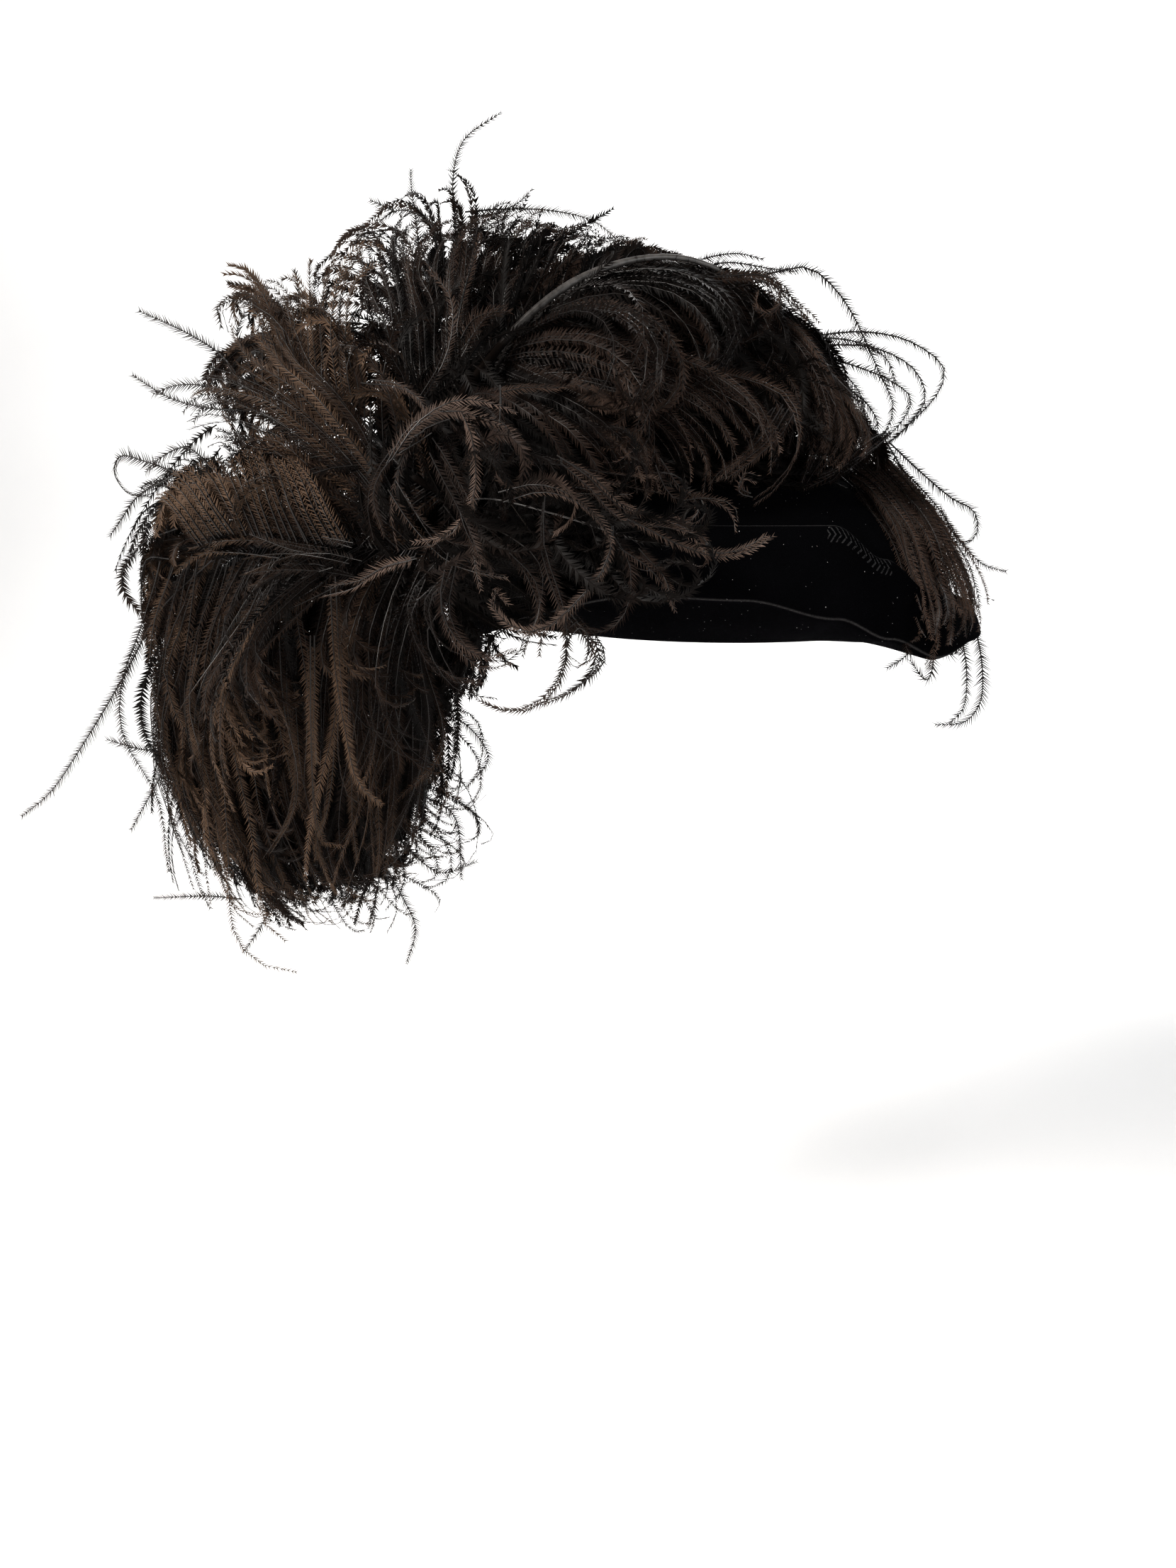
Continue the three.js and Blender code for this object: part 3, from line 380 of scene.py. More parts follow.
TAIL = [
    row(0.3, 0.8, 4, (64, 24), (36, 14), (0.3, -0.8, 0), 0.8, 30, (-0.2, 0.2, -1), mess=0.5, dense=0.4,
        hook=20, fluff=2.8),
    row(0.2, 0.78, 5, (50, 22), (40, 14), (0.9, 0.3, 0.3), 0.9, 60, (-0.3, 0, -1), mess=0.6, dense=0.4,
        hook=30, fluff=2.8),
    row(0.2, 0.6, 2, (60, 50), (50, 40), (0.3, 0.9, 0.3), 0.9, 60, (-0.3, 0, -1), dense=0.7),
    fan(42, 2.2, 0.84, 2.8, [(-44, -110), (-38, -100), (-30, -78), (-26, -60)],
        (46, 59, 56, 53, 66, 40, 70, 24, 73, 10, 72, 2), (56, 63, 68, 50, 78, 32, 83, 15, 83, 6, 80, -1),
        (64, 65, 78, 49, 90, 31, 96, 16, 96, 6, 93, -1), (71, 62, 87, 44, 97, 26, 101, 15, 102, 7, 100, 1),
        free=True),
    fan(24, 3.2, 0.3, 3.2, [(-38, -100), (-24, -54)], (50, 57, 62, 45, 72, 25, 77, 11, 77, 2),
        (68, 62, 87, 39, 97, 21, 101, 8, 99, 0), free=True),
    fan(11, 3, 0.66, 3, [(-50, -116), (-46, -108), (-40, -92)], (53, 52, 61, 35, 66, 16, 71, -1, 74, -2),
        (59, 55, 72, 34, 79, 13, 80, -3, 73, -6), (66, 55, 84, 33, 91, 12, 90, 0, 83, -5), free=True),
    stray(71, -10, 71, 85, -8, 59, 99, -8, 48, 108, -8, 43, 110, -8, 34, 105, -8, 29, 98, -8, 37,
        94, -8, 45),
    stray(69, -10, 72, 83, -10, 52, 100, -10, 34, 113, -10, 21, 123, -10, 18),
    stray(105, -40, -1, 109, -42, -18, 109, -44, -33, 103, -46, -41, 91, -48, -42),
    stray(82, -60, 0, 86, -60, -15, 84, -60, -22, 77, -60, -14),
    stray(96, -50, 0, 101, -50, -17, 101, -50, -35, 96, -50, -41),
    stray(80, -62, 3, 79, -62, -6, 74, -62, -13, 68, -62, -17),
    stray(87, -56, 0, 90, -56, -10, 94, -56, -12, 99, -56, -7),
]

# Each plume: feather colour, radius of the quill, how far the quill stands before the spine, and the spine
PLUMES = {
    "plume_arch": {
        "slot": "plume_black_brown", "quill": 2.6, "forward": 8, "barbs": ARCH,
        "spine": [(-72, -62, 52), (-98, -74, 78), (-84, -74, 100), (-52, -66, 127), (-14, -52, 135),
                  (22, -40, 117), (40, -36, 96), (54, -34, 76)]},
    "plume_crest": {
        "slot": "plume_black_brown", "quill": 2.6, "forward": 0, "barbs": CREST,
        "spine": [(-82, -46, 48), (-112, -48, 66), (-126, -36, 96), (-124, -16, 126), (-108, 8, 144),
                  (-95, 20, 147)]},
    "plume_fan": {
        "slot": "plume_brown", "quill": 2.4, "forward": 0, "barbs": FAN,
        "spine": [(-80, -74, 44), (-112, -84, 54), (-135, -76, 74), (-156, -62, 96), (-178, -48, 112)]},
    "plume_side": {
        "slot": "plume_brown", "quill": 2.6, "forward": -6, "barbs": SIDE,
        "spine": [(-84, -84, 34), (-123, -92, 29), (-150, -95, 33), (-190, -86, 24), (-204, -72, 0),
                  (-202, -58, -40), (-190, -50, -92)]},
    "plume_drop": {
        "slot": "plume_brown", "quill": 2.6, "forward": 0, "barbs": DROP,
        "spine": [(-92, -50, 30), (-126, -44, 26), (-154, -32, 6), (-174, -22, -34), (-180, -16, -74),
                  (-172, -12, -106)]},
    "plume_curls": {
        "slot": "plume_taupe", "quill": 0.5, "forward": -12, "barbs": CURLS,
        "spine": [(-78, -94, 36), (-98, -112, 44), (-80, -132, 48), (-52, -140, 42), (-26, -140, 34)]},
    "plume_tail": {
        "slot": "plume_black_brown", "quill": 1.4, "forward": -8, "barbs": TAIL,
        "spine": [(-64, -40, 62), (-40, -8, 88), (0, 14, 98), (30, 16, 84), (56, 6, 64), (80, -10, 40),
                  (92, -28, 14), (97, -38, -2)]},
}


# Vectors and curves

def smooth(value, low, high):
    share = np.clip((value - low) / (high - low), 0, 1)
    return share * share * (3 - 2 * share)


def lerp(pair, share):
    return pair[0] + (pair[1] - pair[0]) * share


def lengths(v, keep=False):
    return np.linalg.norm(v, axis=-1, keepdims=keep)


def unit(v):
    return v / np.maximum(lengths(v, keep=True), 1e-9)


def square_to(v, axis):
    """What is left of vectors without their part along unit axes."""
    return v - axis * (v * axis).sum(1, keepdims=True)


def turned(v, axis, angle):
    """Vectors turned about axes by angles."""
    c, s = np.cos(angle)[:, None], np.sin(angle)[:, None]
    return v * c + np.cross(axis, v) * s + axis * (axis * v).sum(1, keepdims=True) * (1 - c)


def sideways(tangent, view=(0.1, -1, 0.25)):
    """Directions across a barb, nearly square to the way to the camera."""
    return unit(np.cross(tangent, view))


def hermite(u, p1, p2, m1, m2):
    """Points from p1 to p2 that leave along m1 and come in along m2."""
    return ((2 * u**3 - 3 * u**2 + 1) * p1 + (u**3 - 2 * u**2 + u) * m1
            + (3 * u**2 - 2 * u**3) * p2 + (u**3 - u**2) * m2)


def catmull(points, count, steps=48):
    """A centripetal curve through points, resampled evenly along its length."""
    p = np.array(points, float)
    p = np.vstack([2 * p[0] - p[1], p, 2 * p[-1] - p[-2]])
    u = np.linspace(0, 1, steps, endpoint=False)[:, None]
    pieces = []
    for p0, p1, p2, p3 in zip(p[:-3], p[1:-2], p[2:-1], p[3:]):
        a, b, c = (max(np.linalg.norm(d) ** 0.5, 1e-6) for d in (p1 - p0, p2 - p1, p3 - p2))
        m1 = ((p1 - p0) / a - (p2 - p0) / (a + b) + (p2 - p1) / b) * b
        m2 = ((p2 - p1) / b - (p3 - p1) / (b + c) + (p3 - p2) / c) * b
        pieces.append(hermite(u, p1, p2, m1, m2))
    dense = np.vstack(pieces + [p[-2:-1]])
    along = np.concatenate([[0], np.cumsum(lengths(np.diff(dense, axis=0)))])
    even = np.linspace(0, along[-1], count)
    return np.stack([np.interp(even, along, dense[:, k]) for k in range(3)], axis=1)


def plain_curve(points, count):
    """A uniform curve through 2D points."""
    last = len(points) - 1
    place = np.linspace(0, last, count)
    low = np.minimum(place.astype(int), last - 1)
    p0, p1, p2, p3 = (points[np.clip(low + k, 0, last)] for k in (-1, 0, 1, 2))
    return hermite((place - low)[:, None], p1, p2, (p2 - p0) / 2, (p3 - p1) / 2)


def between(values, place):
    """Values between the steps of a table that runs along its first axis."""
    low = np.minimum(place.astype(int), len(values) - 2)
    part = (place - low).reshape(-1, *[1] * (values.ndim - 1))
    return values[low] * (1 - part) + values[low + 1] * part


def between_each(table, place):
    """The same along the second axis, with places of its own for each row."""
    low = np.minimum(place.astype(int), table.shape[1] - 2)
    part = (place - low)[..., None]
    each = np.arange(len(table))[:, None]
    return table[each, low] * (1 - part) + table[each, low + 1] * part


def at(line, share):
    """Points of a polyline at shares of its length."""
    return between(line, np.clip(share, 0, 1) * (len(line) - 1))


# The cap: the same drape as the solids, on a fine grid

def edge_at(angle, column):
    """A column of the cuff's edge at angles from the front."""
    low = np.clip(np.searchsorted(CUFF_EDGE[:, 0], angle, side="right") - 1, 0, len(CUFF_EDGE) - 2)
    a, b = CUFF_EDGE[low], CUFF_EDGE[low + 1]
    share = smooth(angle, a[..., 0], b[..., 0])
    return a[..., column] * (1 - share) + b[..., column] * share


def lift(angle, reach):
    """How far the wave of the fold lifts the velvet, more the nearer it is to the fold."""
    return (edge_at(angle, 1) - OPENING["z"]) * np.clip(reach, 0, 1)


def crease_depth(angle, high):
    depth = np.zeros_like(angle)
    scale = math.radians(1) * CROWN["side"]
    for start, end, deep, broad in CREASES:
        ax, ay = (end[0] - start[0]) * scale, (end[1] - start[1]) * CROWN["height"]
        bx = (np.mod(angle - start[0] + 180, 360) - 180) * scale
        by = (high - start[1]) * CROWN["height"]
        share = np.clip((bx * ax + by * ay) / (ax * ax + ay * ay), 0, 1)
        off = np.hypot(bx - share * ax, by - share * ay)
        depth += deep * np.sin(np.pi * (0.15 + 0.7 * share)) * np.exp(-((off / broad) ** 2))
    return depth


def crown_fall(x):
    """How much of its height the crown keeps at x: it slopes down to the wearer's left."""
    return 1 - 0.0022 * x - 0.38 * smooth(x, 52, 110)


def crown_point(x, y, z):
    """The draped place of a point that is given in shares of the crown's half widths and height."""
    angle = np.degrees(np.arctan2(x, -y))
    high = np.clip(z, 0, 1)
    share = np.hypot(x, y) * CROWN["side"] / CUFF["side"]
    slack = 0.5 * np.sin(np.radians(angle) * 7 + high * 5) + 0.4 * np.sin(np.radians(angle) * 13 - high * 9)
    depth = crease_depth(angle, high) + slack * np.sin(np.pi * high)
    inward = 1 - depth * np.minimum(1, 3 * share) / CROWN["side"]
    px, py = x * CROWN["side"] * inward, y * CROWN["front"] * inward
    inner = OPENING["side"] / CUFF["side"]
    wave = lift(angle, (share - inner) / (1 - inner)) * (1 - high) ** 2
    pz = CROWN_BASE + z * (CROWN["height"] - CROWN_BASE) * crown_fall(px) + wave
    return np.stack([px, py, pz], axis=-1)


def grid_faces(rows, columns, closed_rows):
    """Quads of a grid whose columns go round, and whose rows may too."""
    r, c = np.meshgrid(np.arange(rows if closed_rows else rows - 1), np.arange(columns), indexing="ij")
    r2, c2 = (r + 1) % rows, (c + 1) % columns
    quads = np.stack([r * columns + c, r * columns + c2, r2 * columns + c2, r2 * columns + c], axis=-1)
    return quads.reshape(-1, 4)


def crown_mesh(pole=0.0006, unmarked=50.0):
    around = 240
    outer = plain_curve(CROWN_LINE, 60)
    slope = np.gradient(outer, axis=0)
    normal = unit(np.stack([-slope[:, 1], slope[:, 0]], axis=1))
    inner = outer - normal * [WALL / CROWN["side"], WALL / CROWN["height"]]
    inner[:, 0] = np.maximum(inner[:, 0], pole)
    outer[0, 0] = pole
    inner[-1, 1] = outer[-1, 1]
    line = np.vstack([outer, inner[::-1]])
    turn = np.linspace(0, 2 * np.pi, around, endpoint=False)
    x, y = line[:, :1] * np.sin(turn), -line[:, :1] * np.cos(turn)
    verts = crown_point(x, y, np.broadcast_to(line[:, 1:], x.shape)).reshape(-1, 3)
    plain = np.full(len(verts), unmarked)
    marks = {"edge": plain, "mark_u": plain, "mark_v": plain}
    return verts, grid_faces(len(line), around, True)[:, ::-1], marks


def cuff_mesh(foot=0.08, bend=0.96, tight=0.35):
    around, steps = ((320, 6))
    inner, wall = OPENING["side"] / CUFF["side"], WALL / CUFF["side"]
    top = 1 - CUFF["lean"] / CUFF["side"]
    bulge = (1 + top) / 2 + 0.008
    line = np.array([
        (inner, 0), ((inner + 1) / 2, -0.02), (0.975, -0.02), (0.995, 0.03), (1, 0.12), (bulge, 0.5),
        (top, 0.97), (top - wall / 2, 1), (top - wall, 0.97), (bulge - wall, 0.5), (1 - wall, 0.17),
        (0.97, foot), ((inner + 1) / 2, foot), (inner, foot)])
    turn = np.linspace(-np.pi, np.pi, around, endpoint=False)
    angle = np.degrees(turn)[None, :]
    share, z = line[:, :1], line[:, 1:]
    reach = np.clip((share - inner) / (1 - inner), 0, 1)
    height = np.where((z <= foot) & (share < bend), z * (WALL / foot), z * edge_at(angle, 2))
    out = 1 + edge_at(angle, 3) / CUFF["side"] * reach
    rise = np.where((z > 0.1) | (share > bend), lift(angle, 1), lift(angle, reach))
    slack = 0.5 * np.sin(9 * turn + 1) + 0.35 * np.sin(17 * turn)
    slack = slack * np.where((z > 0.2), 1, 0) * np.where(share < 1, 1, 0)
    x, y = share * np.sin(turn), -share * np.cos(turn)
    coarse = np.stack([x * (CUFF["side"] * out + slack), y * (CUFF["front"] * out + slack),
                       OPENING["z"] + rise + height + 0 * x], axis=-1)
    rings = []
    for k in range(len(line)):
        p0, p1, p2, p3 = (coarse[(k + j) % len(line)] for j in (-1, 0, 1, 2))
        chord = lengths(p2 - p1, keep=True)
        m1, m2 = (unit(m) * np.minimum(lengths(m, keep=True), chord)
                  for m in ((p2 - p0) * tight, (p3 - p1) * tight))
        rings += [hermite(u, p1, p2, m1, m2) for u in np.arange(steps) / steps]
    grid = np.stack(rings)
    steps_up = lengths(np.diff(grid, axis=0, append=grid[:1]))
    along = np.concatenate([np.zeros((1, around)), np.cumsum(steps_up, axis=0)[:-1]])
    fold_ring, brim_ring = 3 * steps, 7 * steps
    fold, brim = along[fold_ring], along[brim_ring]
    on_front = np.arange(len(grid))[:, None] <= brim_ring + 1
    mark_angle, front_radius, unmarked = 20.5, 118, 60.0
    marks = {"edge": np.minimum(np.abs(along - fold), np.abs(along - brim)).ravel(),
             "mark_u": ((angle - mark_angle) * math.radians(1) * front_radius + 0 * along).ravel(),
             "mark_v": np.where(on_front, brim - along, unmarked).ravel()}
    return grid.reshape(-1, 3), grid_faces(len(grid), around, True), marks


def off_the_cap(p, clear=2, lowest=-14, shoulder=0.86, outside=1.035):
    """Lifts points that would lie in the crown onto it, and moves those in the cuff out before it."""
    x, y, z = p[..., 0], p[..., 1], p[..., 2].copy()
    share = np.hypot(x / CROWN["side"], y / CROWN["front"])
    outer = CROWN_LINE[:7]
    high = np.interp(share, outer[:, 0], outer[:, 1])
    top = CROWN_BASE + high * (CROWN["height"] - CROWN_BASE) * crown_fall(x) + clear
    over = (share < shoulder) & (z < top) & (z > lowest)
    z[over] = top[over]
    angle = np.degrees(np.arctan2(x, -y))
    oval = np.hypot(x / CUFF["side"], y / CUFF["front"])
    fold = edge_at(angle, 1)
    beside = (oval > 0.7) & (oval < 1.03) & (z > fold - 5) & (z < fold + edge_at(angle, 2) + 1)
    factor = np.where(beside, outside / np.maximum(oval, 0.1), 1)
    return np.stack([x * factor, y * factor, z], axis=-1)


# Barbs: each kind gives paths (barbs, rings, 3), directions across at the roots, and tints

def row_paths(rng, spec, spine):
    """Barbs that leave the quill side by side, in clumps, and droop, curl and hook over."""
    count = int(spec["count"] * BARBS_PER_LOCK * spec["dense"])
    mess = spec["mess"]
    share = (np.arange(count) + rng.random(count)) / count
    margin = 0.45 * (spec["to"] - spec["from"]) / spec["count"]
    place = np.clip(lerp((spec["from"] - margin, spec["to"] + margin), share), 0.03, 1)
    tangents = unit(np.gradient(spine, axis=0))
    root, tangent = at(spine, place), unit(at(tangents, place))
    clumps = max(2, int(spec["count"] * spec["clumps"]))
    clump = np.clip((share * clumps + 0.4 * rng.standard_normal(count)).astype(int), 0, clumps - 1)

    def vary(by_clump, by_barb, *size):
        shared = by_clump * rng.standard_normal((clumps, *size))[clump]
        return mess * (shared + by_barb * rng.standard_normal((count, *size)))

    side = unit(square_to(np.array(spec["aim"], float) + vary(0.3, 0.14, 3), tangent))
    sweep = np.radians(lerp(spec["sweep"], share) + vary(6, 3))[:, None]
    heading = unit(tangent * np.cos(sweep) + side * np.sin(sweep))
    toward = unit(np.array(spec["toward"], float) + vary(0.3, 0.1, 3))
    axis = unit(np.cross(heading, toward))
    length = lerp(spec["length"], share) * np.clip(1.02 + vary(0.08, 0.06), 0.5, 1.2)
    length *= 1 - 0.5 * (rng.random(count) < 0.22) * rng.random(count)
    droop = spec["droop"] * (1 + vary(0.2, 0.12))
    curl = np.radians(spec["curl"] * (1.05 + vary(0.22, 0.08)))
    hook = np.radians(spec["hook"] * np.clip(1 + vary(0.35, 0.2), 0, 2))

    shares = 1 - (1 - np.linspace(0, 1, ROW_STEPS + 1)) ** 1.45
    pieces = np.diff(shares)
    bend = np.diff(np.minimum(((shares + 0.1) / 0.98) ** 2.5, 1))
    crook = smooth((shares[1:] + shares[:-1]) / 2, 0.62, 0.95) * pieces
    points = [root]
    for part, base_share, tip_share in zip(pieces, bend / bend.sum(), crook / crook.sum()):
        heading = heading.copy()
        heading[:, 2] -= droop * length * part / 100
        heading = turned(unit(heading), axis, curl * base_share + hook * tip_share)
        points.append(points[-1] + heading * (length * part)[:, None])
    path = np.stack(points, axis=1)

    for k in range(clumps):
        members = clump == k
        if members.sum() > 1:
            centre = path[members].mean(0)
            path[members] += spec["pull"] * (shares**1.5)[None, :, None] * (centre - path[members])
    wander = rng.standard_normal((count, 2, 3))
    wave = (np.sin(np.pi * shares * 1.4)[None, :, None] * wander[:, :1]
            + 0.6 * np.sin(np.pi * shares * 2.9)[None, :, None] * wander[:, 1:])
    path += wave * shares[None, :, None] * 1.5 * mess
    tint = 0.42 + 0.16 * rng.standard_normal(clumps)[clump] + 0.13 * rng.standard_normal(count) + spec["pale"]
    return off_the_cap(path), tangent, np.clip(tint, -0.3, 1)


def fan_paths(rng, spec, spine):
    """Barbs laid side by side between guide lines, each a little loose and ending at its own place; a barb
    laid deeper is painted darker, as painted shade.
    """
    lines = np.stack([catmull(points, 80) for points in spec["lines"]])
    count = spec["count"]
    place = (np.arange(count) + rng.uniform(0.15, 0.85, count)) / count * (len(lines) - 1)
    whole = between(lines, place)
    ends = 1 - rng.uniform(0, 0.16, count)
    shares = ends[:, None] * np.linspace(0, 1, FAN_RINGS)[None]
    path = between_each(whole, shares * (whole.shape[1] - 1))
    stray = rng.standard_normal((count, 4, 3)) * spec["loose"]
    phase = rng.uniform(0, 2 * np.pi, (count, 2))
    path += stray[:, :1] * 0.4 + stray[:, 1:2] * (shares**1.5)[..., None]
    path += 0.5 * stray[:, 2:3] * (np.sin(6.5 * shares + phase[:, :1]) * np.minimum(3 * shares, 1))[..., None]
    path += 0.3 * stray[:, 3:] * (np.sin(13 * shares + phase[:, 1:]) * shares)[..., None]
    across = sideways(path[:, 1] - path[:, 0])
    # Painted shade: the deeper a barb lies in the fan, the darker its tint, and the nearer it lies, the
    # paler.
    near = -(stray[:, 0, 1] + stray[:, 1, 1]) / spec["loose"]
    tint = np.clip(spec["tint"] + 0.1 * rng.standard_normal(count) + 0.13 * near, -0.4, 1)
    return path if spec["free"] else off_the_cap(path), across, tint


def lock_paths(rng, spec, spine):
    """Copies of one line that spread from each other and, where there are many, end at different places."""
    count = spec["count"]
    base = catmull(spec["line"], 200)
    rings = int(np.clip(lengths(np.diff(base, axis=0)).sum() / 7, 10, 22))
    starts = rng.uniform(0, 0.12, count) * (count > 4)
    ends = 1 - rng.uniform(0, 0.16, count) * (count > 4)
    shares = starts[:, None] + (ends - starts)[:, None] * np.linspace(0, 1, rings)
    path = at(base, shares.ravel()).reshape(count, rings, 3)
    near = rng.standard_normal((count, 1, 3)) * spec["near"]
    far = rng.standard_normal((count, 1, 3)) * spec["far"]
    blend = smooth(shares, 0, 1)[..., None]
    path = path + near * (1 - blend) + far * blend
    bow = rng.standard_normal((count, 1, 3)) * 0.5 * min(spec["near"], spec["far"])
    path += bow * np.sin(np.pi * shares * 1.5)[..., None]
    across = sideways(unit(path[:, 1] - path[:, 0]))
    return off_the_cap(path), across, np.clip(spec["tint"] + 0.1 * rng.standard_normal(count), -0.4, 1)


def stray_paths(rng, spec, spine):
    """One barb along its own line."""
    path = catmull(spec["line"], STRAY_RINGS)[None]
    return path, sideways(path[:, 1] - path[:, 0]), np.array([0.3])


def barb_geometry(rng, path, across, tint, spec):
    """Stems as three-sided tapered tubes, with a row of overlapping pointed barbules down each side."""
    count, rings, _ = path.shape
    tangent = unit(np.gradient(path, axis=1))
    current = turned(unit(square_to(across, tangent[:, 0])), tangent[:, 0],
                     spec["roam"] * rng.normal(0, 0.5, count))
    twist = spec["roam"] * rng.normal(0, 1.0, count) / rings
    frames = []
    for k in range(rings):
        current = turned(unit(square_to(current, tangent[:, k])), tangent[:, k], twist)
        frames.append(current)
    across = np.stack(frames, axis=1)
    up = np.cross(tangent, across)
    runs = lengths(np.diff(path, axis=1))
    knots = np.concatenate([[0], np.cumsum(runs.mean(0))])
    knots = knots / knots[-1]

    radius = spec["stem"] * (1 - 0.7 * knots)[None, :, None]
    thirds_of_a_turn = (0.0, 2.094, 4.189)
    corners = [across * math.cos(a) + up * math.sin(a) for a in thirds_of_a_turn]
    stem_verts = np.stack([path + corner * radius for corner in corners], axis=2).reshape(-1, 3)
    ring = (np.arange(count)[:, None, None] * rings + np.arange(rings - 1)[None, :, None]) * 3
    corner = np.arange(3)[None, None, :]
    after = (corner + 1) % 3
    quads = np.stack([ring + corner, ring + after, ring + 3 + after, ring + 3 + corner], axis=-1)
    quads = quads.reshape(-1, 4)

    each = max(6, int(runs.sum(1).mean() / spec["spacing"]))
    s = 0.04 + 0.96 * ((np.arange(each)[None, :] + rng.uniform(0.2, 0.8, (count, each))) / each)
    s = np.concatenate([s, s], axis=1)
    hand = np.repeat([1.0, -1.0], each)[None, :, None]
    place = np.interp(s, knots, np.linspace(0, 1, rings)) * (rings - 1)
    base = between_each(path, place)
    t, a = unit(between_each(tangent, place)), unit(between_each(across, place))
    roll = rng.normal(0.2, 0.12, (count, 2 * each))[..., None]
    lean = np.radians(54 - 20 * s + rng.normal(0, 4, s.shape))[..., None]
    direction = t * np.cos(lean) + (a * np.cos(roll) * hand + np.cross(t, a) * np.sin(roll)) * np.sin(lean)
    profile = 0.55 + 0.55 * np.sin(np.pi * np.clip(s, 0, 1) ** 0.85) ** 0.6
    own = rng.uniform(0.85, 1.12, (count, 1))
    size = spec["fluff"] * own * profile * rng.uniform(0.8, 1.12, s.shape)
    half = spec["foot"] * spec["spacing"]
    tips = base + direction * size[..., None]
    barbules = np.stack([base - t * half, base + t * half, tips], axis=2).reshape(-1, 3)
    total = count * 2 * each
    barbule_tint = np.repeat(tint, 6 * each) + np.repeat(rng.normal(0, 0.04, total), 3)
    look = GLOSSY if spec["gloss"] else FEATHER
    return {
        "verts": np.vstack([stem_verts, barbules]), "quads": quads,
        "tris": len(stem_verts) + np.arange(total * 3).reshape(-1, 3),
        "tint": np.concatenate([np.repeat(tint, rings * 3), barbule_tint]),
        "along": np.concatenate([np.tile(np.repeat(knots, 3), count), np.repeat(s.ravel(), 3)]),
        "stem": np.concatenate([np.ones(len(stem_verts)), np.tile([0.7, 0.7, 0.0], total)]),
        "quad_look": np.full(len(quads), look), "tri_look": np.full(total, FEATHER),
    }


def quill_geometry(line, radius, tip=0.45, rings=48, sides=8):
    """The shaft: an eight-sided tapered tube, a little flattened, closed at both ends."""
    share = np.linspace(0, 1, rings)
    path = at(line, share)
    tangent = unit(np.gradient(path, axis=0))
    across = sideways(tangent, (0.2, -1, 0.3))
    up = np.cross(tangent, across)
    size = np.interp(share, [0, 0.5, 1], [radius, radius * 0.62, tip])[:, None, None]
    turn = np.linspace(0, 2 * np.pi, sides, endpoint=False)[None, :, None]
    tube = path[:, None] + size * (across[:, None] * np.cos(turn) + 0.8 * up[:, None] * np.sin(turn))
    verts = np.vstack([tube.reshape(-1, 3), path[:1], path[-1:]])
    k = np.arange(sides)
    after, last, centre = (k + 1) % sides, (rings - 1) * sides, np.full(sides, rings * sides)
    quads = grid_faces(rings, sides, False)
    tris = np.vstack([np.stack([centre, after, k], axis=1),
                      np.stack([centre + 1, last + k, last + after], axis=1)])
    return {
        "verts": verts, "quads": quads, "tris": tris, "tint": np.full(len(verts), 0.5),
        "along": np.concatenate([np.repeat(share, sides), [0, 1]]), "stem": np.ones(len(verts)),
        "quad_look": np.full(len(quads), HORN), "tri_look": np.full(len(tris), HORN),
    }


# Blender meshes and materials

# Places of the three materials in a plume's mesh
FEATHER, HORN, GLOSSY = 0, 1, 2
DARK_HORN = (0.004, 0.003, 0.0026)

# Feather colours: dark, mid and light
FEATHER_COLOURS = {
    "plume_black_brown": [(0.0022, 0.0012, 0.0009), (0.0110, 0.0063, 0.0045), (0.050, 0.032, 0.024)],
    "plume_brown": [(0.0034, 0.0018, 0.0012), (0.019, 0.0108, 0.0070), (0.095, 0.059, 0.038)],
    "plume_taupe": [(0.0028, 0.0017, 0.0013), (0.019, 0.0118, 0.0090), (0.105, 0.073, 0.058)],
}


def mesh_piece(name, verts, quads, tris, attributes, materials, looks):
    """An object from arrays in millimetres: smooth quads, flat triangles, and a material for each face."""
    mesh = bpy.data.meshes.new(name)
    mesh.vertices.add(len(verts))
    mesh.vertices.foreach_set("co", (verts * MM).astype(np.float32).ravel())
    mesh.loops.add(4 * len(quads) + 3 * len(tris))
    mesh.loops.foreach_set("vertex_index", np.concatenate([quads.ravel(), tris.ravel()]).astype(np.int32))
    starts = np.concatenate([np.arange(len(quads)) * 4, len(quads) * 4 + np.arange(len(tris)) * 3])
    mesh.polygons.add(len(starts))
    mesh.polygons.foreach_set("loop_start", starts.astype(np.int32))
    for material in materials:
        mesh.materials.append(material)
    mesh.polygons.foreach_set("material_index", looks.astype(np.int32))
    mesh.polygons.foreach_set("use_smooth", np.arange(len(starts)) < len(quads))
    for key, values in attributes.items():
        layer = mesh.attributes.new(key, "FLOAT", "POINT")
        layer.data.foreach_set("value", values.astype(np.float32))
    mesh.update(calc_edges=True)
    piece = bpy.data.objects.new(name, mesh)
    bpy.context.collection.objects.link(piece)
    return piece


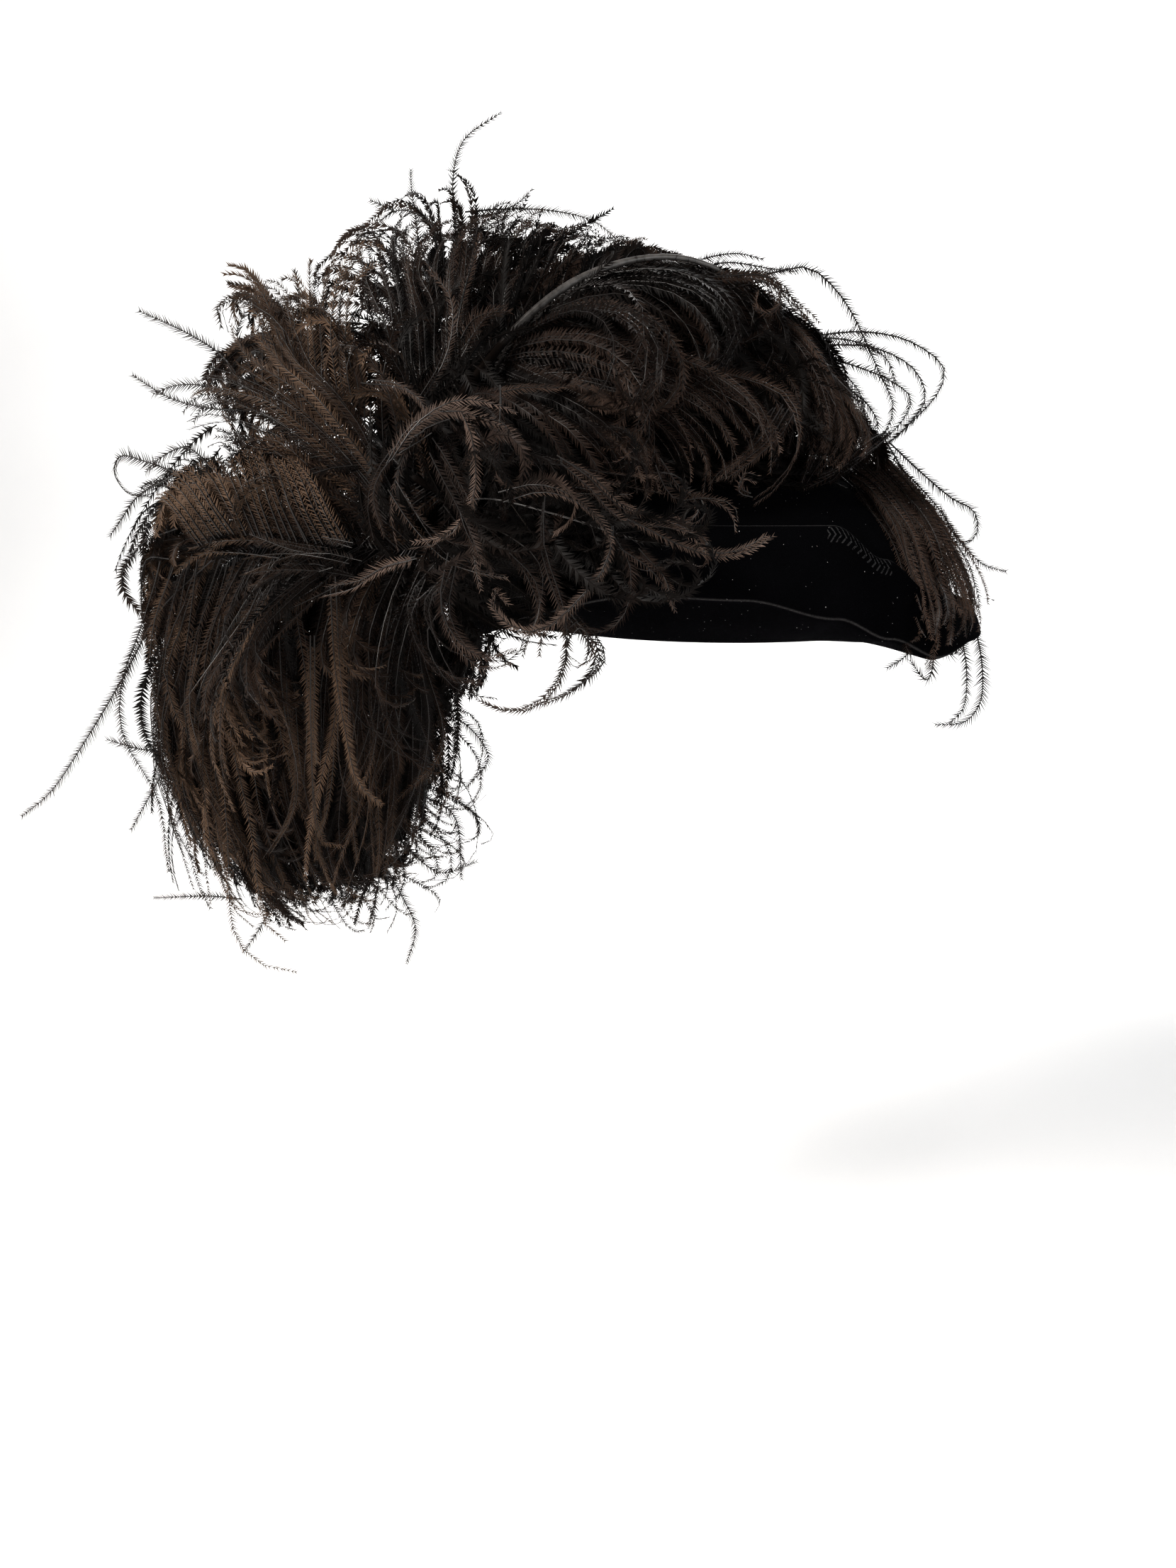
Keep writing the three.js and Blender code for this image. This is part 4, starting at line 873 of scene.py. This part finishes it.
class Nodes:
    """Short hand for building a material's nodes."""

    def __init__(self, name):
        self.material = bpy.data.materials.new(name)
        self.material.use_nodes = True
        self.tree = self.material.node_tree
        self.shader = self.tree.nodes["Principled BSDF"]

    def feed(self, socket, value):
        """Sets a socket to a number or a colour, or links it to another node's output."""
        if isinstance(value, (int, float)):
            socket.default_value = value
        elif isinstance(value, tuple):
            socket.default_value = (*value, 1)
        else:
            self.tree.links.new(value, socket)

    def look(self, **values):
        """Feeds the shader's inputs, named with underscores for spaces."""
        for key, value in values.items():
            self.feed(self.shader.inputs[key.replace("_", " ")], value)

    def add(self, kind, **values):
        node = self.tree.nodes.new(kind)
        for key, value in values.items():
            if hasattr(node, key):
                setattr(node, key, value)
            else:
                self.feed(node.inputs[key], value)
        return node

    def texture(self, kind, **values):
        """A texture laid over the object's own coordinates."""
        place = self.add("ShaderNodeTexCoord").outputs["Object"]
        return self.add(kind, Vector=place, **values)

    def attributes(self, *names):
        return [self.add("ShaderNodeAttribute", attribute_name=name).outputs["Fac"] for name in names]

    def math(self, operation, *values):
        node = self.add("ShaderNodeMath", operation=operation)
        for socket, value in zip(node.inputs, values):
            self.feed(socket, value)
        return node.outputs[0]

    def ramp(self, fac, *stops):
        node = self.add("ShaderNodeValToRGB", Fac=fac)
        elements = node.color_ramp.elements
        for k, (position, colour) in enumerate(stops):
            element = elements[k] if k < 2 else elements.new(position)
            element.position = position
            element.color = (*colour, 1)
        return node.outputs[0]

    def mix(self, fac, a, b):
        node = self.add("ShaderNodeMix", data_type="RGBA")
        for k, value in ((0, fac), (6, a), (7, b)):
            self.feed(node.inputs[k], value)
        return node.outputs[2]

    def bump(self, height, strength, distance):
        node = self.add("ShaderNodeBump", Height=height, Strength=strength, Distance=distance)
        self.look(Normal=node.outputs[0])


def feather_material(name, dark, mid, light):
    """Barbs: brown by barb, darker on the stems, darker towards the roots as painted shade and paler towards
    the tips, in broad patches.
    """
    n = Nodes(name)
    tint, along, stem = n.attributes("tint", "along", "stem")
    patch = n.texture("ShaderNodeTexNoise", Scale=28.0, Detail=2.0)
    value = n.math("ADD", tint, n.math("MULTIPLY", n.math("SUBTRACT", patch.outputs[0], 0.5), 0.75))
    # Painted shade: darker towards the barbs' roots, deep in the plume, and paler towards the tips.
    value = n.math("ADD", value, n.math("MULTIPLY", n.math("SUBTRACT", along, 0.55), 0.42))
    # The last stop, brighter than the light colour, is a painted highlight for the palest barbs.
    colour = n.ramp(value, (0.0, (0.0007, 0.0005, 0.0004)), (0.22, dark), (0.52, mid), (0.88, light),
                    (1.0, tuple(1.35 * part for part in light)))
    n.look(Base_Color=n.mix(n.math("MULTIPLY", stem, 0.75), colour, DARK_HORN), IOR=1.13, Sheen_Weight=0.015,
           Roughness=n.math("SUBTRACT", 0.62, n.math("MULTIPLY", stem, 0.22)), Sheen_Roughness=0.4,
           Sheen_Tint=(0.9, 0.78, 0.68))
    return n.material


def shaft_material():
    """The quill's horn: dark at the root, grey and glossy further out, with fine long streaks."""
    n = Nodes("quill_horn")
    streak = n.texture("ShaderNodeTexNoise", Scale=420.0, Detail=3.0).outputs[0]
    colour = n.ramp(streak, (0.3, (0.02, 0.018, 0.017)), (0.7, (0.075, 0.07, 0.066)))
    out = n.math("MULTIPLY_ADD", *n.attributes("along"), 7.0, -2.0)
    out = n.math("MINIMUM", n.math("MAXIMUM", out, 0.0), 1.0)
    n.look(Base_Color=n.mix(out, DARK_HORN, colour), Specular_IOR_Level=n.math("MULTIPLY", out, 0.5),
           Roughness=n.math("MULTIPLY_ADD", streak, 0.2, 0.2), Coat_Weight=n.math("MULTIPLY", out, 0.15),
           Coat_Roughness=0.3)
    n.bump(streak, 0.25, 0.0002)
    return n.material


def stem_material():
    """The barbs' own thin shafts: near black, with a gloss that draws fine light lines."""
    n = Nodes("barb_stem")
    n.look(Base_Color=(0.0055, 0.004, 0.0034), Roughness=0.4, Specular_IOR_Level=0.34)
    return n.material


def velvet_material(name):
    """Black pile velvet: pale where the pile breaks over a fold, a crushed mark, and white lint."""
    n = Nodes(name)
    edge, mark_u, mark_v = n.attributes("edge", "mark_u", "mark_v")
    pile = n.texture("ShaderNodeTexNoise", Scale=1500.0, Detail=4.0, Roughness=0.7).outputs[0]
    nap = n.texture("ShaderNodeTexNoise", Scale=22.0, Detail=3.0).outputs[0]
    shade = n.math("MULTIPLY_ADD", nap, 0.6, n.math("MULTIPLY", pile, 0.4))
    colour = n.ramp(shade, (0.3, (0.0004, 0.0004, 0.0005)), (0.75, (0.0017, 0.0017, 0.0021)))

    # The pale line along a fold: its half width is 0.75 mm
    line = n.math("MAXIMUM", n.math("SUBTRACT", 1.0, n.math("DIVIDE", edge, 0.75)), 0.0)
    line = n.math("MULTIPLY", line, n.math("MULTIPLY_ADD", pile, 1.0, -0.15))
    colour = n.mix(n.math("MINIMUM", n.math("MULTIPLY", line, 1.5), 1.0), colour, (0.042, 0.04, 0.04))

    # The crushed mark: slanted rungs, 30 mm long in all, in a band 5.6 mm high
    across = n.math("ABSOLUTE", n.math("SUBTRACT", mark_v, 3.6))
    rung = n.math("PINGPONG", n.math("ADD", mark_u, n.math("MULTIPLY", across, 0.8)), 1.15)
    rung = n.math("GREATER_THAN", rung, 0.8)
    for inside in (n.math("LESS_THAN", across, 2.8), n.math("GREATER_THAN", mark_u, 0.0),
                   n.math("LESS_THAN", mark_u, 30.0), n.math("GREATER_THAN", pile, 0.45)):
        rung = n.math("MULTIPLY", rung, inside)
    colour = n.mix(n.math("MULTIPLY", rung, 0.5), colour, (0.042, 0.041, 0.042))

    # White lint: dots in two sizes, in some of the cells only
    for scale, size, chance in ((230.0, 0.045, 0.4), (520.0, 0.06, 0.72)):
        cells = n.texture("ShaderNodeTexVoronoi", Scale=scale).outputs
        split = n.add("ShaderNodeSeparateColor", Color=cells["Color"]).outputs
        dot = n.math("MULTIPLY", n.math("LESS_THAN", cells["Distance"], size),
                     n.math("GREATER_THAN", split[0], chance))
        colour = n.mix(n.math("MULTIPLY", dot, split[1]), colour, (0.34, 0.33, 0.33))

    n.look(Base_Color=colour, Roughness=0.95, IOR=1.02, Sheen_Weight=0.004, Sheen_Roughness=0.35,
           Sheen_Tint=(0.8, 0.85, 1.0))
    n.bump(pile, 0.5, 0.0004)
    return n.material


PATHS = {"row": row_paths, "fan": fan_paths, "lock": lock_paths, "stray": stray_paths}


def make_plume(name, seed, feather, shaft, stem):
    """One joined mesh in place of a plume's solid: all its barbs, and its quill."""
    spec = PLUMES[name]
    rng = np.random.default_rng(seed)
    spine = catmull(spec["spine"], 400)
    groups = [barb_geometry(rng, *PATHS[barbs["kind"]](rng, barbs, spine), barbs)
              for barbs in spec["barbs"]]
    groups.append(quill_geometry(spine - [0, spec["forward"], 0], spec["quill"] * 0.8))
    offset = 0
    for group in groups:
        group["quads"] = group["quads"] + offset
        group["tris"] = group["tris"] + offset
        offset += len(group["verts"])
    joined = {key: np.concatenate([group[key] for group in groups]) for key in groups[0]}
    piece = mesh_piece(name + "_barbs", joined["verts"], joined["quads"], joined["tris"],
                       {key: joined[key] for key in ("tint", "along", "stem")}, [feather, shaft, stem],
                       np.concatenate([joined["quad_look"], joined["tri_look"]]))
    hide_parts(name)
    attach(piece, "root")


# Stage, light and camera

def make_stage(floor=-0.42, bend=1.6, radius=1.2):
    """A sheet of pale paper that runs level, then up behind the cap."""
    turns = np.linspace(0.1, math.pi / 2, 14)
    profile = [(-4.0, floor), (bend, floor)]
    profile += [(bend + radius * math.sin(a), floor + radius * (1 - math.cos(a))) for a in turns]
    profile += [(bend + radius, 4.5)]
    verts = [(x, y, z) for y, z in profile for x in (-6.0, 6.0)]
    faces = [(2 * k, 2 * k + 1, 2 * k + 3, 2 * k + 2) for k in range(len(profile) - 1)]
    mesh = bpy.data.meshes.new("backdrop")
    mesh.from_pydata(verts, [], faces)
    mesh.polygons.foreach_set("use_smooth", [True] * len(faces))
    backdrop = bpy.data.objects.new("backdrop", mesh)
    bpy.context.collection.objects.link(backdrop)
    n = Nodes("pale_paper")
    grain = n.add("ShaderNodeTexNoise", Scale=9.0, Detail=2.0).outputs[0]
    n.look(Base_Color=n.ramp(grain, (0.3, (0.86, 0.86, 0.86)), (0.7, (0.9, 0.9, 0.9))), Roughness=0.9,
           Specular_IOR_Level=0.1)
    mesh.materials.append(n.material)


def area_light(name, place, target, size, power, colour=(1, 1, 1)):
    light = bpy.data.lights.new(name, "AREA")
    light.shape, light.size, light.energy, light.color = "DISK", size, power, colour
    lamp = bpy.data.objects.new(name, light)
    lamp.location = place
    bpy.context.collection.objects.link(lamp)
    way = unit(np.array(target, float) - np.array(place, float))
    lamp.rotation_euler = (math.acos(-way[2]), 0, math.atan2(-way[0], way[1]))


def make_light():
    """Light from all sides that fades with height, a warm key, a cool fill, and lights for back and paper."""
    world = bpy.data.worlds.new("studio")
    world.use_nodes = True
    nodes, links = world.node_tree.nodes, world.node_tree.links
    height = nodes.new("ShaderNodeSeparateXYZ")
    links.new(nodes.new("ShaderNodeTexCoord").outputs["Generated"], height.inputs[0])
    fade = nodes.new("ShaderNodeMapRange")
    for socket, value in (("From Min", 0.12), ("From Max", 0.45), ("To Min", 0.8), ("To Max", 0.1)):
        fade.inputs[socket].default_value = value
    links.new(height.outputs[2], fade.inputs["Value"])
    links.new(fade.outputs[0], nodes["Background"].inputs[1])
    nodes["Background"].inputs[0].default_value = (1, 1, 1, 1)
    bpy.context.scene.world = world
    bpy.context.scene.view_settings.view_transform = "Standard"
    area_light("key", (-1.2, -1.1, 1.1), (-0.12, -0.05, 0.03), 0.6, 62, (1, 0.95, 0.9))
    area_light("fill", (1.3, -1.0, 0.5), (0, 0, 0.03), 0.8, 8, (0.96, 0.98, 1))
    area_light("back", (0.4, 1.2, 1.3), (-0.05, 0, 0.08), 0.8, 16)
    area_light("paper", (0, 1.0, 2.4), (0, 4.0, 1.6), 2.4, 90)


def make_camera(yaw=6.4, pitch=14.0):
    camera = bpy.data.cameras.new("camera")
    camera.lens = 26
    camera.sensor_width = 36
    holder = bpy.data.objects.new("camera", camera)
    holder.location = (0.0, -0.519, 0.047)
    holder.rotation_euler = (math.pi / 2 - math.radians(pitch), 0, math.radians(yaw))
    bpy.context.collection.objects.link(holder)
    bpy.context.scene.camera = holder


def main():
    make_camera()
    make_stage()
    make_light()
    for name, build in (("crown", crown_mesh), ("cuff", cuff_mesh)):
        verts, quads, attributes = build()
        piece = mesh_piece(name + "_velvet", verts, quads, np.empty(0, int), attributes,
                           [velvet_material(name + "_velvet")], np.zeros(len(quads)))
        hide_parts(name)
        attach(piece, "root")
    shaft, stem = shaft_material(), stem_material()
    feathers = {name: feather_material(name, *colours) for name, colours in FEATHER_COLOURS.items()}
    for seed, name in enumerate(PLUMES, FIRST_SEED):
        make_plume(name, seed, feathers[PLUMES[name]["slot"]], shaft, stem)


main()
